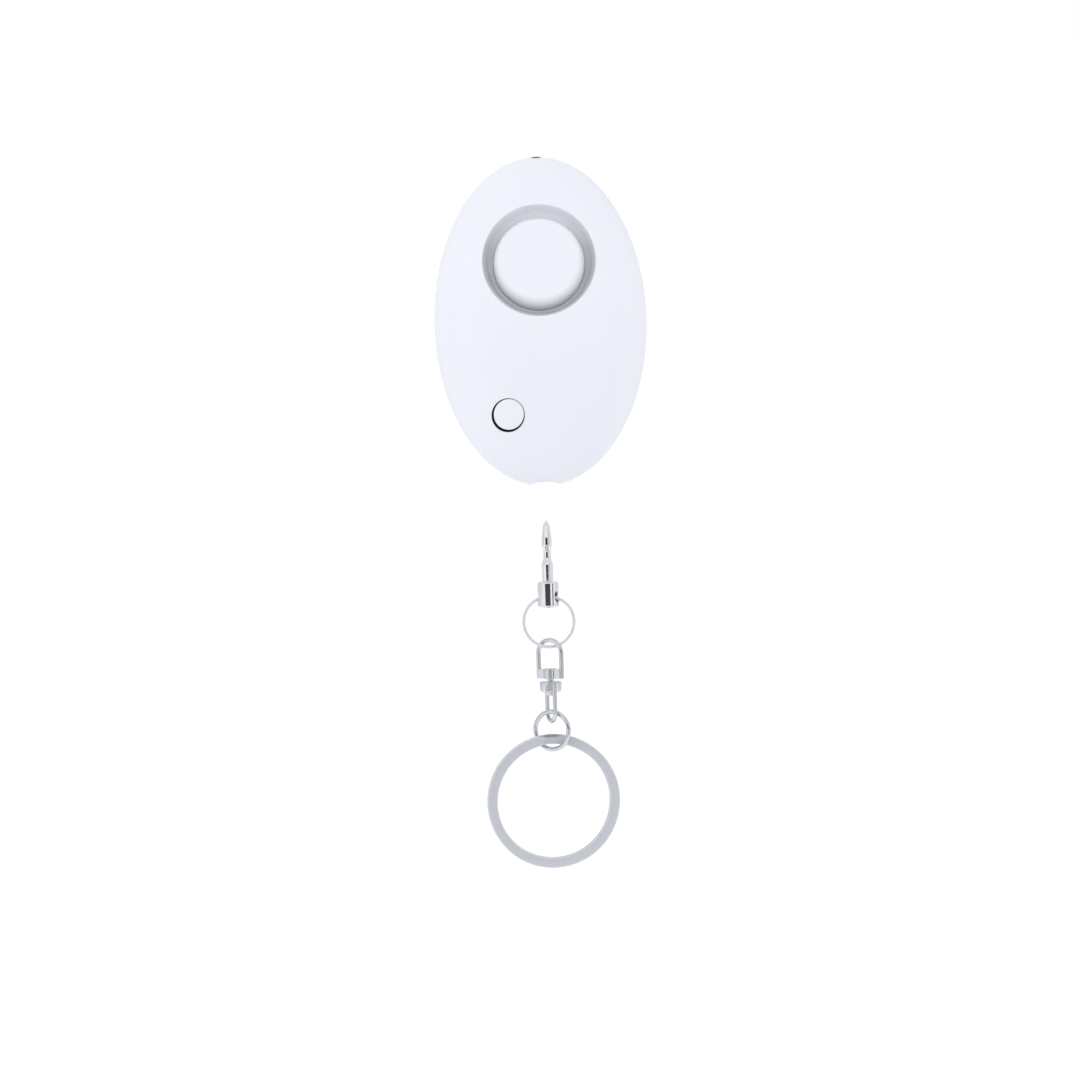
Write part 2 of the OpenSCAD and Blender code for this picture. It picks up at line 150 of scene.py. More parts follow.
@dataclass(frozen=True)
class Opening:
    """An opening through a skin, as radii at equal angles round a centre in plan."""

    x: float
    z: float
    radii: tuple[float, ...]

    def ring(self, offset: float = 0.0) -> list[Plan]:
        """Points round the opening.

        Args:
            offset: How far outside the edge they lie.

        Returns:
            The points, in plan.
        """
        count = len(self.radii)
        angles = [TURN * i / count for i in range(count)]
        return [(self.x + (r + offset) * math.cos(a), self.z + (r + offset) * math.sin(a))
                for r, a in zip(self.radii, angles)]

    def outside(self, spot: Plan) -> float:
        """Distance of a spot from the edge.

        Args:
            spot: The spot, in plan.

        Returns:
            The distance, below 0 inside the opening.
        """
        across, up = spot[0] - self.x, spot[1] - self.z
        place = math.atan2(up, across) % TURN / TURN * len(self.radii)
        low = int(place) % len(self.radii)
        high = (low + 1) % len(self.radii)
        edge = self.radii[low] + (place - int(place)) * (self.radii[high] - self.radii[low])
        return math.hypot(across, up) - edge


class Casting:
    """A closed mesh under construction, in millimetres."""

    halo = (0.22, 0.5, 0.85)
    halo_room = 0.8
    spot_room = 1.3
    net_weld = 1e-6

    def __init__(self) -> None:
        """Start with no points and no faces."""
        self.points: list[Point] = []
        self.faces: list[tuple[int, ...]] = []

    def loop(self, points: Iterable[Point]) -> list[int]:
        """Add points.

        Args:
            points: The points.

        Returns:
            Their numbers.
        """
        first = len(self.points)
        self.points.extend(points)
        return list(range(first, len(self.points)))

    def band(self, first: Sequence[int], second: Sequence[int]) -> None:
        """Join two closed loops with quads.

        Args:
            first: Numbers of the points of one loop.
            second: As many numbers of the other.
        """
        for i in range(len(first)):
            j = (i + 1) % len(first)
            self.faces.append((first[i], first[j], second[j], second[i]))

    def hub(self, ring: Sequence[int], centre: Point) -> None:
        """Close a loop with triangles.

        Args:
            ring: Numbers of the loop's points.
            centre: Point that the triangles meet at.
        """
        middle = self.loop([centre])[0]
        for i in range(len(ring)):
            self.faces.append((ring[i], ring[(i + 1) % len(ring)], middle))

    def stack(self, rings: Iterable[Iterable[Point]]) -> tuple[list[int], list[int]]:
        """Add rings one after another, joined by bands.

        Args:
            rings: Points of each ring.

        Returns:
            The first and the last loop.
        """
        loops = [self.loop(ring) for ring in rings]
        for first, second in zip(loops, loops[1:]):
            self.band(first, second)
        return loops[0], loops[-1]

    def lathe(self, profile: Sequence[Plan], place: Placer, sides: int) -> None:
        """Turn an outline of radius and level round an axis.

        Args:
            profile: Radius and level of each point, with radius 0 at a closed end.
            place: Gives the point at a radius, an angle and a level.
            sides: Points round the axis.
        """
        middle = [(r, level) for r, level in profile if r > 0]
        angles = [TURN * i / sides for i in range(sides)]
        first, last = self.stack([[place(r, a, level) for a in angles] for r, level in middle])
        for (radius, level), ring in ((profile[0], first), (profile[-1], last)):
            if radius <= 0:
                self.hub(ring, place(0, 0, level))

    def sweep(self, path: Sequence[Vector], across: Vector, section: Sequence[Plan], closed: bool) -> None:
        """Carry a section along a flat path.

        Args:
            path: Points of the path.
            across: Direction square to the plane of the path.
            section: Outline as distances in the plane and square to it.
            closed: Whether the path runs into its own start.
        """
        rings = []
        count = len(path)
        for i, spot in enumerate(path):
            before = path[(i - 1) % count] if closed else path[max(0, i - 1)]
            after = path[(i + 1) % count] if closed else path[min(count - 1, i + 1)]
            side = across.cross(after - before).normalized()
            rings.append([tuple(spot + side * u + across * v) for u, v in section])
        first, last = self.stack(rings)
        if closed:
            self.band(last, first)
        else:
            self.hub(first, tuple(path[0]))
            self.hub(last, tuple(path[-1]))

    def drape(self, border: Sequence[Plan], spots: Iterable[Plan], openings: Sequence[Opening],
              within: Callable[[Plan], bool], lift: Callable[[float, float], Point]) -> None:
        """Lay a skin over a height field, with openings left free.

        Args:
            border: Closed outline of the skin in plan.
            spots: Points to spread over it.
            openings: The openings, each with a ring of points of its own.
            within: Says whether a spot keeps clear of the border.
            lift: Gives the point of the skin over a spot.
        """
        flat: list[Plan] = []
        edges: list[tuple[int, int]] = []
        for fence in [border, *(opening.ring() for opening in openings)]:
            first, count = len(flat), len(fence)
            flat.extend(fence)
            edges.extend((first + i, first + (i + 1) % count) for i in range(count))
        for offset in self.halo:
            for opening in openings:
                flat.extend(spot for spot in opening.ring(offset) if within(spot)
                            and min(o.outside(spot) for o in openings) > self.halo_room * offset)
        room = self.spot_room * self.halo[-1]
        flat.extend(spot for spot in spots if all(o.outside(spot) > room for o in openings))
        net = delaunay_2d_cdt([Vector(spot) for spot in flat], edges, [], 0, self.net_weld)
        exact = [flat[sources[0]] if sources else tuple(spot) for spot, sources in zip(net[0], net[3])]
        numbers = self.loop(lift(*spot) for spot in exact)
        for face in net[2]:
            middle = tuple(sum(exact[i][axis] for i in face) / len(face) for axis in (0, 1))
            if all(o.outside(middle) > 0 for o in openings):
                self.faces.append(tuple(numbers[i] for i in face))

    def solid(self, name: str, crease: float = CREASE) -> bpy.types.Object:
        """Make the object, smooth but for edges sharper than the crease.

        Args:
            name: Name of the piece.
            crease: Angle between faces, in degrees, from which an edge stays sharp.

        Returns:
            The new object, in metres.
        """
        mesh = bpy.data.meshes.new(name)
        mesh.from_pydata([Vector(p) * MM for p in self.points], [], self.faces)
        work = bmesh.new()
        work.from_mesh(mesh)
        bmesh.ops.remove_doubles(work, verts=work.verts, dist=WELD)
        bmesh.ops.dissolve_degenerate(work, edges=work.edges, dist=WELD)
        bmesh.ops.recalc_face_normals(work, faces=work.faces)
        work.to_mesh(mesh)
        work.free()
        piece = bpy.data.objects.new(name, mesh)
        bpy.context.scene.collection.objects.link(piece)
        smooth(piece, crease)
        return piece


def smooth(piece: bpy.types.Object, crease: float) -> None:
    """Shade a piece smooth but for edges sharper than the crease."""
    piece.data.shade_smooth()
    piece.data.set_sharp_from_angle(angle=math.radians(crease))


def combine(piece: bpy.types.Object, how: Cut, tools: Iterable[bpy.types.Object]) -> None:
    """Join other solids to a piece or take them away, and remove those solids.

    Args:
        piece: The piece that changes.
        how: Join or take.
        tools: The other solids.
    """
    for tool in tools:
        change = piece.modifiers.new("change", "BOOLEAN")
        change.operation = how.value
        change.solver = "EXACT"
        change.object = tool
        shaped = bpy.data.meshes.new_from_object(piece.evaluated_get(bpy.context.evaluated_depsgraph_get()))
        piece.modifiers.clear()
        old, piece.data = piece.data, shaped
        bpy.data.meshes.remove(old)
        spare = tool.data
        bpy.data.objects.remove(tool)
        bpy.data.meshes.remove(spare)
    smooth(piece, CREASE)


@dataclass(frozen=True)
class CaseForm:
    """Outer form of the case that its pieces share, in millimetres, with heights from the parting line."""

    half_w: float = 20.0
    half_h: float = 31.0
    part_y: float = -9.0
    wall: float = 1.6
    front_d: float = 9.0
    rear_d: float = 9.0
    front_full: float = 9.7
    rear_full: float = 10.4
    crown_wide: float = 1.6
    crown_deep: float = 15.4
    crown_blend: float = 0.25
    back_blend: float = 0.22
    notch_r: float = 6.2
    notch_depth: float = 0.9
    notch_blend: float = 0.12
    spot_rings: float = 1.25
    spot_rounds: float = 1.27
    fewest_spots: int = 8

    @property
    def inner_w(self) -> float:
        """Half width inside the wall."""
        return self.half_w - self.wall

    def share(self, x: float, z: float) -> float:
        """Distance of a spot from the middle as a share of the case's half size."""
        return math.hypot(x / self.half_w, z / self.half_h)

    def dome(self, x: float, z: float, half_w: float, depth: float) -> float:
        """Height of an oval dome of a half width and a depth over a spot."""
        share = self.share(x, z) * self.half_w / half_w
        return depth * math.sqrt(max(0.0, 1 - share * share))

    def front(self, x: float, z: float) -> float:
        """Height of the front skin over a spot.

        Args:
            x: Place of the spot across.
            z: Place of the spot up.

        Returns:
            The height, with the dome's edge blended into a flatter crown.
        """
        share = self.share(x, z)
        drop = self.crown_deep * (1 - math.sqrt(1 - min(1.0, share / self.crown_wide) ** 2))
        return soft_min(self.dome(x, z, self.half_w, self.front_full), self.front_d - drop, self.crown_blend)

    def rear(self, x: float, z: float) -> float:
        """Height of the rear skin over a spot."""
        return soft_min(self.dome(x, z, self.half_w, self.rear_full), self.rear_d, self.back_blend)

    def front_inside(self, x: float, z: float) -> float:
        """Height of the inner skin of the front shell over a spot."""
        return min(self.dome(x, z, self.inner_w, self.front_full - self.wall), self.front_d - self.wall)

    def rear_inside(self, x: float, z: float) -> float:
        """Height of the inner skin of the rear shell over a spot."""
        return min(self.dome(x, z, self.inner_w, self.rear_full - self.wall), self.rear_d - self.wall)

    def notched(self, x: float, y: float, z: float) -> Point:
        """Push a point of the outer skin up into the notch that the pin's collar nests in.

        Args:
            x: Place of the point across.
            y: Its place from front to back.
            z: Its place up.

        Returns:
            The point, moved only where it lies below the notch.
        """
        left = self.notch_r ** 2 - x * x
        if z > 0 or left <= 0:
            return x, y, z
        rise = -self.half_h + self.notch_depth - self.notch_r + math.sqrt(left) - z
        return x, y, z + self.notch_blend * math.log1p(math.exp(min(EXP_LIMIT, rise / self.notch_blend)))

    def oval(self, half_w: float, count: int) -> list[Plan]:
        """Points round an oval of a half width, in plan."""
        return [(x, z * self.half_h / self.half_w) for x, z in circle(half_w, count)]

    def spots(self, half_w: float, spacing: float) -> list[Plan]:
        """Points spread evenly inside an oval.

        Args:
            half_w: Half width of the oval.
            spacing: About how far apart they lie.

        Returns:
            The points, in plan.
        """
        spots = [(0.0, 0.0)]
        steps = round(half_w * self.spot_rings / spacing)
        for i in range(1, steps):
            radius = half_w * i / steps
            count = round(TURN * radius * self.spot_rounds / spacing)
            spots.extend(self.oval(radius, max(self.fewest_spots, count)))
        return spots


FORM = CaseForm()


def turned(axis: Axis, x: float = 0.0, z: float = 0.0) -> Placer:
    """Placer for a piece that is turned about an axis.

    Args:
        axis: Z for the pin's axis, or Y for an axis from front to back.
        x: Place of a Y axis across.
        z: Place of a Y axis up.

    Returns:
        A function from radius, angle and level to a point. A Y axis counts its level forwards
        from the parting line.
    """
    if axis is Axis.Z:
        return lambda r, a, level: (r * math.cos(a), FORM.part_y + r * math.sin(a), level)
    return lambda r, a, level: (x + r * math.cos(a), FORM.part_y - level, z + r * math.sin(a))


def bar(name: str, ends: Plan, radii: Plan, place: Placer | None = None) -> bpy.types.Object:
    """Round bar or cone, used as a tool for cuts.

    Args:
        name: Name of the tool.
        ends: Levels of its two ends.
        radii: Radii at its two ends.
        place: Gives its points, or None for a bar on the pin's axis.

    Returns:
        The tool.
    """
    casting = Casting()
    profile = [(0.0, ends[0]), (radii[0], ends[0]), (radii[1], ends[1]), (0.0, ends[1])]
    casting.lathe(profile, place or turned(Axis.Z), TOOL_SIDES)
    return casting.solid(name)


def block(name: str, low: Point, high: Point) -> bpy.types.Object:
    """Square block, used as a tool for cuts and joins.

    Args:
        name: Name of the tool.
        low: Its lowest corner.
        high: Its highest corner.

    Returns:
        The tool.
    """
    casting = Casting()
    corners = ((low[0], low[1]), (high[0], low[1]), (high[0], high[1]), (low[0], high[1]))
    middle = ((low[0] + high[0]) / 2, (low[1] + high[1]) / 2)
    first, last = casting.stack([[(x, y, z) for x, y in corners] for z in (low[2], high[2])])
    casting.hub(first, (*middle, low[2]))
    casting.hub(last, (*middle, high[2]))
    return casting.solid(name)


class Signal:
    """A shader socket that takes part in Python arithmetic."""

    def __init__(self, bench: "Bench", socket: bpy.types.NodeSocket) -> None:
        """Hold a socket of a bench's node tree."""
        self.bench = bench
        self.socket = socket

    def _join(self, operation: str, first: "Signal | float | tuple", second: "Signal | float | tuple") -> "Signal":
        """Add the node that joins two values, vectors or colours.

        Args:
            operation: Name of the operation, which the three kinds of node share.
            first: Left side.
            second: Right side.

        Returns:
            The node's result.
        """
        kinds = {item.socket.type for item in (first, second) if isinstance(item, Signal)}
        if "RGBA" in kinds:
            node = self.bench.node("ShaderNodeMix", {"data_type": "RGBA", "blend_type": operation},
                                   {"Factor_Float": 1.0, "A_Color": first, "B_Color": second})
            return self.bench.out(node, "Result_Color")
        if "VECTOR" in kinds:
            node = self.bench.node("ShaderNodeVectorMath", {"operation": operation}, {0: first, 1: second})
            return self.bench.out(node, 0)
        node = self.bench.node("ShaderNodeMath", {"operation": operation}, {0: first, 1: second})
        return self.bench.out(node, 0)

    def __add__(self, other: "Signal | float | tuple") -> "Signal":
        """Sum with another signal or a constant."""
        return self._join("ADD", self, other)

    def __radd__(self, other: "float | tuple") -> "Signal":
        """Sum with a constant on the left."""
        return self._join("ADD", other, self)

    def __sub__(self, other: "Signal | float | tuple") -> "Signal":
        """Difference from another signal or a constant."""
        return self._join("SUBTRACT", self, other)

    def __rsub__(self, other: "float | tuple") -> "Signal":
        """Difference of a constant and this signal."""
        return self._join("SUBTRACT", other, self)

    def __mul__(self, other: "Signal | float | tuple") -> "Signal":
        """Product with another signal or a constant."""
        return self._join("MULTIPLY", self, other)

    def __rmul__(self, other: "float | tuple") -> "Signal":
        """Product with a constant on the left."""
        return self._join("MULTIPLY", other, self)

    def over(self, limit: float) -> "Signal":
        """1 where the value is over a limit, and 0 elsewhere."""
        return self._join("GREATER_THAN", self, limit)

    def sine(self) -> "Signal":
        """Sine of the value, in radians."""
        return self._join("SINE", self, 0.0)

    def root(self) -> "Signal":
        """Square root of the value."""
        return self._join("SQRT", self, 0.0)

    def largest(self, other: "Signal | float") -> "Signal":
        """Larger of two values."""
        return self._join("MAXIMUM", self, other)


class Bench:
    """Node tree of one material or of the world."""

    noise_roughness = 0.55

    def __init__(self, owner: bpy.types.Material | bpy.types.World) -> None:
        """Clear a node tree and keep it.

        Args:
            owner: The material or the world that has the tree.
        """
        owner.use_nodes = True
        self.tree = owner.node_tree
        self.tree.nodes.clear()

    def node(self, kind: str, settings: dict, sockets: dict) -> bpy.types.Node:
        """Add a node.

        Args:
            kind: Type of the node.
            settings: Its settings, set first. The stops of a ramp are pairs of place and colour.
            sockets: Values or signals of its inputs, by number, identifier or name.

        Returns:
            The new node.
        """
        made = self.tree.nodes.new(kind)
        for name, value in settings.items():
            if name == "stops":
                while len(made.color_ramp.elements) < len(value):
                    made.color_ramp.elements.new(0.5)
                for stop, (place, colour) in zip(made.color_ramp.elements, value):
                    stop.position = place
                    stop.color = (*colour, 1.0)
            else:
                setattr(made, name, value)
        for name, value in sockets.items():
            socket = self._find(made.inputs, name)
            if isinstance(value, Signal):
                self.tree.links.new(value.socket, socket)
            elif socket.type == "RGBA" and len(value) == 3:
                socket.default_value = (*value, 1.0)
            else:
                socket.default_value = value
        return made

    @staticmethod
    def _find(sockets: Sequence[bpy.types.NodeSocket], name: int | str) -> bpy.types.NodeSocket:
        """Find a socket.

        Args:
            sockets: Inputs or outputs of a node.
            name: Number, identifier or name of one.

        Returns:
            The socket.
        """
        if isinstance(name, int):
            return sockets[name]
        named = [socket for socket in sockets if socket.identifier == name]
        return named[0] if named else sockets[name]

    def out(self, node: bpy.types.Node, name: int | str) -> Signal:
        """One output of a node as a signal."""
        return Signal(self, self._find(node.outputs, name))

    def place(self) -> Signal:
        """Place on the piece, in millimetres."""
        spot = self.out(self.node("ShaderNodeTexCoord", {}, {}), "Object")
        return spot * (1 / MM, 1 / MM, 1 / MM)

    def parts(self, spot: Signal) -> tuple[Signal, Signal, Signal]:
        """The three parts of a place."""
        split = self.node("ShaderNodeSeparateXYZ", {}, {"Vector": spot})
        return self.out(split, "X"), self.out(split, "Y"), self.out(split, "Z")

    def noise(self, spot: Signal, scale: float, detail: float = 2.0) -> Signal:
        """Soft noise about one half, with its scale in waves per millimetre."""
        node = self.node("ShaderNodeTexNoise", {"noise_dimensions": "3D"},
                         {"Vector": spot, "Scale": scale, "Detail": detail, "Roughness": self.noise_roughness})
        return self.out(node, "Fac")

    def ramp(self, value: Signal, stops: Sequence[tuple[float, Colour]]) -> Signal:
        """Colour along a ramp."""
        return self.out(self.node("ShaderNodeValToRGB", {"stops": stops}, {"Fac": value}), "Color")

    def mix(self, share: Signal, first: "Signal | Colour", second: "Signal | Colour") -> Signal:
        """Colour between two, by a share."""
        node = self.node("ShaderNodeMix", {"data_type": "RGBA", "blend_type": "MIX"},
                         {"Factor_Float": share, "A_Color": first, "B_Color": second})
        return self.out(node, "Result_Color")

    def bump(self, height: Signal, depth: float) -> Signal:
        """Surface direction for a height, with its depth in millimetres."""
        node = self.node("ShaderNodeBump", {}, {"Height": height, "Distance": depth * MM, "Strength": 1.0})
        return self.out(node, "Normal")

    def mask(self, value: Signal, whole: float, none: float) -> Signal:
        """White at one value, black at another and blended between them."""
        ends = sorted(((whole, BLACK_TO_WHITE[1]), (none, BLACK_TO_WHITE[0])))
        return self.ramp(value, ends)

    def surface(self, **sockets: "Signal | float | Colour") -> None:
        """Finish the material with one principled shader.

        Args:
            sockets: Its inputs by name, with _ for a space.
        """
        named = {name.replace("_", " "): value for name, value in sockets.items()}
        shader = self.node("ShaderNodeBsdfPrincipled", {}, named)
        self.node("ShaderNodeOutputMaterial", {}, {"Surface": self.out(shader, "BSDF")})


@dataclass(frozen=True)
class ShadePatch:
    """A round patch of shade painted into the tone, such as in a hollow, with its place and half sizes in millimetres
    and the share of tone left in it.
    """

    place: Point
    size: Point
    share: float
    core: float = 0.55


@dataclass(frozen=True)
class Finish:
    """A finish with a name and a colour, which paints one material."""

    name: str
    colour: Colour
    roughness: float = 0.4
    shade_patch: ShadePatch | None = field(default=None, kw_only=True)

    def material(self) -> bpy.types.Material:
        """Make the material.

        Returns:
            The material, or the one already made.
        """
        made = bpy.data.materials.get(self.name)
        if made is None:
            made = bpy.data.materials.new(self.name)
            self.paint(Bench(made))
        return made

    def shade(self, share: float) -> Colour:
        """The colour made lighter or darker by a share."""
        return tuple(min(1.0, part * share) for part in self.colour)

    def painted_shade(self, bench: Bench, spot: Signal, tone: Signal) -> Signal:
        """Paint shade into the tone in the finish's shade patch, if it has one.

        Args:
            bench: Node tree of the material.
            spot: Place on the piece.
            tone: Colour there without the painted shade.

        Returns:
            The colour there.
        """
        if self.shade_patch is None:
            return tone
        # Painted shade: the tone is darkest inside the patch's core and fades out to its half sizes.
        x, y, z = bench.parts((spot - self.shade_patch.place) * tuple(1 / size for size in self.shade_patch.size))
        away = (x * x + y * y + z * z).root()
        return bench.mix(bench.mask(away, self.shade_patch.core, 1.0), tone, self.shade(self.shade_patch.share))

    def paint(self, bench: Bench) -> None:
        """Paint the nodes of the finish."""
        raise NotImplementedError


@dataclass(frozen=True)
class GlossPlastic(Finish):
    """Moulded glossy plastic with a faint flow of tone and a faint skin texture."""

    flow: float = 0.035
    texture: float = 2.2
    texture_depth: float = 0.004
    coat: float = 0.25
    coat_roughness: float = 0.12
    spread: float = 0.08
    ior: float = 1.48
    flow_tones: tuple[Plan, ...] = ((0.3, 0.985), (0.7, 1.01))

    def paint(self, bench: Bench) -> None:
        """Paint the nodes of the finish.

        Args:
            bench: Node tree of the material.
        """
        spot = bench.place()
        fine = bench.noise(spot, self.texture, 3.0)
        bench.surface(Base_Color=self.tone(bench, spot), IOR=self.ior,
                      Roughness=self.roughness - self.spread / 2 + fine * self.spread,
                      Normal=bench.bump(fine, self.texture_depth),
                      Coat_Weight=self.coat, Coat_Roughness=self.coat_roughness)

    def tone(self, bench: Bench, spot: Signal) -> Signal:
        """Colour of the plastic at a place."""
        flow = bench.noise(spot, self.flow, 1.0)
        return bench.ramp(flow, [(place, self.shade(share)) for place, share in self.flow_tones])


@dataclass(frozen=True)
class Recess:
    """A round recess seen from the front, in millimetres, or all that lies outside its round, where shade is painted
    into the tone.

    The shares of the tone that the painted shade leaves go with places from 0 at its foot to 1 at its top.
    """

    x: float
    z: float
    radius: float
    soft: float
    shares: tuple[Plan, ...]
    outside: bool = False


@dataclass(frozen=True)
class RecessedPlastic(GlossPlastic):
    """Glossy plastic with shade painted into its round recesses, or outside a round."""

    recesses: tuple[Recess, ...] = ()
    reach: float = 25.0

    def tone(self, bench: Bench, spot: Signal) -> Signal:
        """Mix the colour of the plastic.

        Args:
            bench: Node tree of the material.
            spot: Place on the piece.

        Returns:
            The colour there, with painted shade in the recesses.
        """
        tone = super().tone(bench, spot)
        across, _, up = bench.parts(spot)
        for recess in self.recesses:
            side, rise = across - recess.x, up - recess.z
            away = (side * side + rise * rise).root() * (1 / self.reach)
            whole, none = (recess.radius - recess.soft) / self.reach, recess.radius / self.reach
            inside = bench.mask(away, none, whole) if recess.outside else bench.mask(away, whole, none)
            # Painted shade in the round: the share of tone left changes from the round's foot to its top.
            recess_shade = bench.ramp(rise * (0.5 / recess.radius) + 0.5,
                              [(place, (share,) * 3) for place, share in recess.shares])
            tone = bench.mix(inside, tone, tone * recess_shade)
        return tone


@dataclass(frozen=True)
class MattPlastic(Finish):
    """Matt moulded plastic, resin or wire sleeve with a fine grain."""

    grain: float = 3.0
    detail: float = 4.0
    tones: Plan = (0.8, 1.2)
    spread: float = 0.15
    depth: float = 0.02

    def paint(self, bench: Bench) -> None:
        """Paint the nodes of the finish.

        Args:
            bench: Node tree of the material.
        """
        fine = bench.noise(bench.place(), self.grain, self.detail)
        tone = bench.mix(fine, *map(self.shade, self.tones))
        bench.surface(Base_Color=tone, Roughness=self.roughness + fine * self.spread,
                      Normal=bench.bump(fine, self.depth))


@dataclass(frozen=True)
class PlatedMetal(Finish):
    """Bright plated metal with faint haze, and with turning lines along Z where it was turned."""

    lines: float = 0.0
    haze: float = 0.05
    depth: float = 0.0015
    patches: float = 0.9
    grain: float = 7.0
    tones: Plan = (0.94, 1.03)
    heights: Plan = (0.2, 0.4)
    line_stretch: Point = (0.05, 0.05, 1.0)

    def paint(self, bench: Bench) -> None:
        """Paint the nodes of the finish.

        Args:
            bench: Node tree of the material.
        """
        spot = bench.place()
        patch = bench.noise(spot, self.patches, 3.0)
        fine = bench.noise(spot, self.grain, 2.0)
        tone = bench.mix(patch, *map(self.shade, self.tones))
        height = fine * self.heights[0] + patch * self.heights[1]
        if self.lines:
            height = height + bench.noise(spot * self.line_stretch, self.lines, 2.0)
        bench.surface(Base_Color=self.painted_shade(bench, spot, tone), Metallic=1.0,
                      Roughness=self.roughness + patch * self.haze,
                      Normal=bench.bump(height, self.depth))


@dataclass(frozen=True)
class SatinMetal(Finish):
    """Satin metal with fine scratches along one direction and soft rubbed patches."""

    along: Point = (0.15, 1.0, 1.0)
    scratch: float = 5.0
    metallic: float = 1.0
    depth: float = 0.004
    patches: float = 0.35
    spread: float = 0.1
    shares: Plan = (0.6, 0.4)
    tones: Plan = (0.93, 1.06)

    def paint(self, bench: Bench) -> None:
        """Paint the nodes of the finish.

        Args:
            bench: Node tree of the material.
        """
        spot = bench.place()
        lines = bench.noise(spot * self.along, self.scratch, 4.0)
        tone = self.painted_shade(bench, spot, self.tone(bench, spot, lines))
        bench.surface(Base_Color=tone, Metallic=self.metallic, Roughness=self.roughness + lines * self.spread,
                      Normal=bench.bump(lines, self.depth))

    def tone(self, bench: Bench, spot: Signal, lines: Signal) -> Signal:
        """Colour of the metal at a place."""
        patch = bench.noise(spot, self.patches, 3.0)
        return bench.mix(lines * self.shares[0] + patch * self.shares[1], *map(self.shade, self.tones))


@dataclass(frozen=True)
class EdgeLitRing(SatinMetal):
    """Satin metal of a flat ring, with a painted highlight along its inner and its outer edge."""

    centre: Point = (0.0, 0.0, 0.0)
    radii: Plan = (0.0, 1.0)
    glint_width: float = 0.3
    bright: float = 1.18

    def tone(self, bench: Bench, spot: Signal, lines: Signal) -> Signal:
        """Mix the colour of the metal.

        Args:
            bench: Node tree of the material.
            spot: Place on the piece.
            lines: Noise of the scratches there.

        Returns:
            The colour there, with the painted highlight along the edges.
        """
        tone = super().tone(bench, spot, lines)
        x, y, z = bench.parts(spot - self.centre)
        inner, outer = self.radii
        place = ((x * x + y * y + z * z).root() - inner) * (1 / (outer - inner))
        edge = self.glint_width / (outer - inner)
        black, white = BLACK_TO_WHITE
        # Painted highlight: lighter bands along the strip's inner and outer edge.
        edge_glint = bench.ramp(place, ((0.0, white), (edge, black), (1 - edge, black), (1.0, white)))
        return bench.mix(edge_glint, tone, tone * ((self.bright,) * 3))


@dataclass(frozen=True)
class ClearResin(Finish):
    """Clear cast resin of the lamp, with a faint ripple."""

    ripple: float = 1.5
    depth: float = 0.01
    dim: float = 0.96
    clear: float = 0.92
    ior: float = 1.5

    def paint(self, bench: Bench) -> None:
        """Paint the nodes of the finish."""
        ripple = bench.noise(bench.place(), self.ripple, 1.0)
        bench.surface(Base_Color=bench.mix(ripple, self.shade(self.dim), self.colour), Roughness=self.roughness,
                      IOR=self.ior, Transmission_Weight=self.clear, Normal=bench.bump(ripple, self.depth))


@dataclass(frozen=True)
class BoardLacquer(Finish):
    """Green lacquer over copper tracks."""

    pitch: float = 1.3
    bends: float = 0.16
    bend_reach: float = 9.0
    slant: float = 0.35
    track_edge: float = 0.35
    grain: float = 4.0
    tones: Plan = (0.85, 1.1)
    track_tone: float = 1.7
    spread: float = 0.1
    depth: float = 0.03

    def paint(self, bench: Bench) -> None:
        """Paint the nodes of the finish.

        Args:
            bench: Node tree of the material.
        """
        spot = bench.place()
        across, _, up = bench.parts(spot)
        bend = bench.noise(spot, self.bends, 0.0) * self.bend_reach
        tracks = ((across + up * self.slant + bend) * (TURN / self.pitch)).sine().over(self.track_edge)
        fine = bench.noise(spot, self.grain, 3.0)
        tone = bench.mix(tracks, bench.mix(fine, *map(self.shade, self.tones)), self.shade(self.track_tone))
        bench.surface(Base_Color=tone, Roughness=self.roughness + fine * self.spread,
                      Normal=bench.bump(tracks, self.depth))


@dataclass(frozen=True)
class WoundWire(Finish):
    """Lacquered wire wound in close turns about Z."""

    pitch: float = 0.2
    tones: Plan = (0.55, 1.1)
    metallic: float = 0.9
    depth: float = 0.08

    def paint(self, bench: Bench) -> None:
        """Paint the nodes of the finish.

        Args:
            bench: Node tree of the material.
        """
        _, _, up = bench.parts(bench.place())
        turns = (up * (TURN / self.pitch)).sine() * 0.5 + 0.5
        tone = bench.mix(turns, *map(self.shade, self.tones))
        bench.surface(Base_Color=tone, Metallic=self.metallic, Roughness=self.roughness,
                      Normal=bench.bump(turns, self.depth))


WHITE_SHELL = GlossPlastic("white gloss shell", (0.80, 0.815, 0.85), 0.36, coat=0.1)
# Painted shade in the siren's groove, darkest along its sides, and a painted near-black shadow in the bore round the
# button.
WHITE_FRONT = RecessedPlastic("white gloss front", (0.80, 0.815, 0.85), 0.36, coat=0.1, recesses=(
    Recess(0.0, 10.4, 10.56, 0.08, ((0.08, 1.0), (0.35, 0.70), (0.6, 0.66), (0.95, 0.88))),
    Recess(-6.5, -17.98, 3.08, 0.03, ((0.5, 0.03), (0.8, 0.06)))))
# Painted near-black shadow on the button's side, round its top.
WHITE_BUTTON = RecessedPlastic("white button", (0.80, 0.815, 0.85), 0.38, texture_depth=0.006, coat=0.1, recesses=(
    Recess(-6.36, -17.84, 2.815, 0.03, ((0.5, 0.03), (0.8, 0.06)), outside=True),))
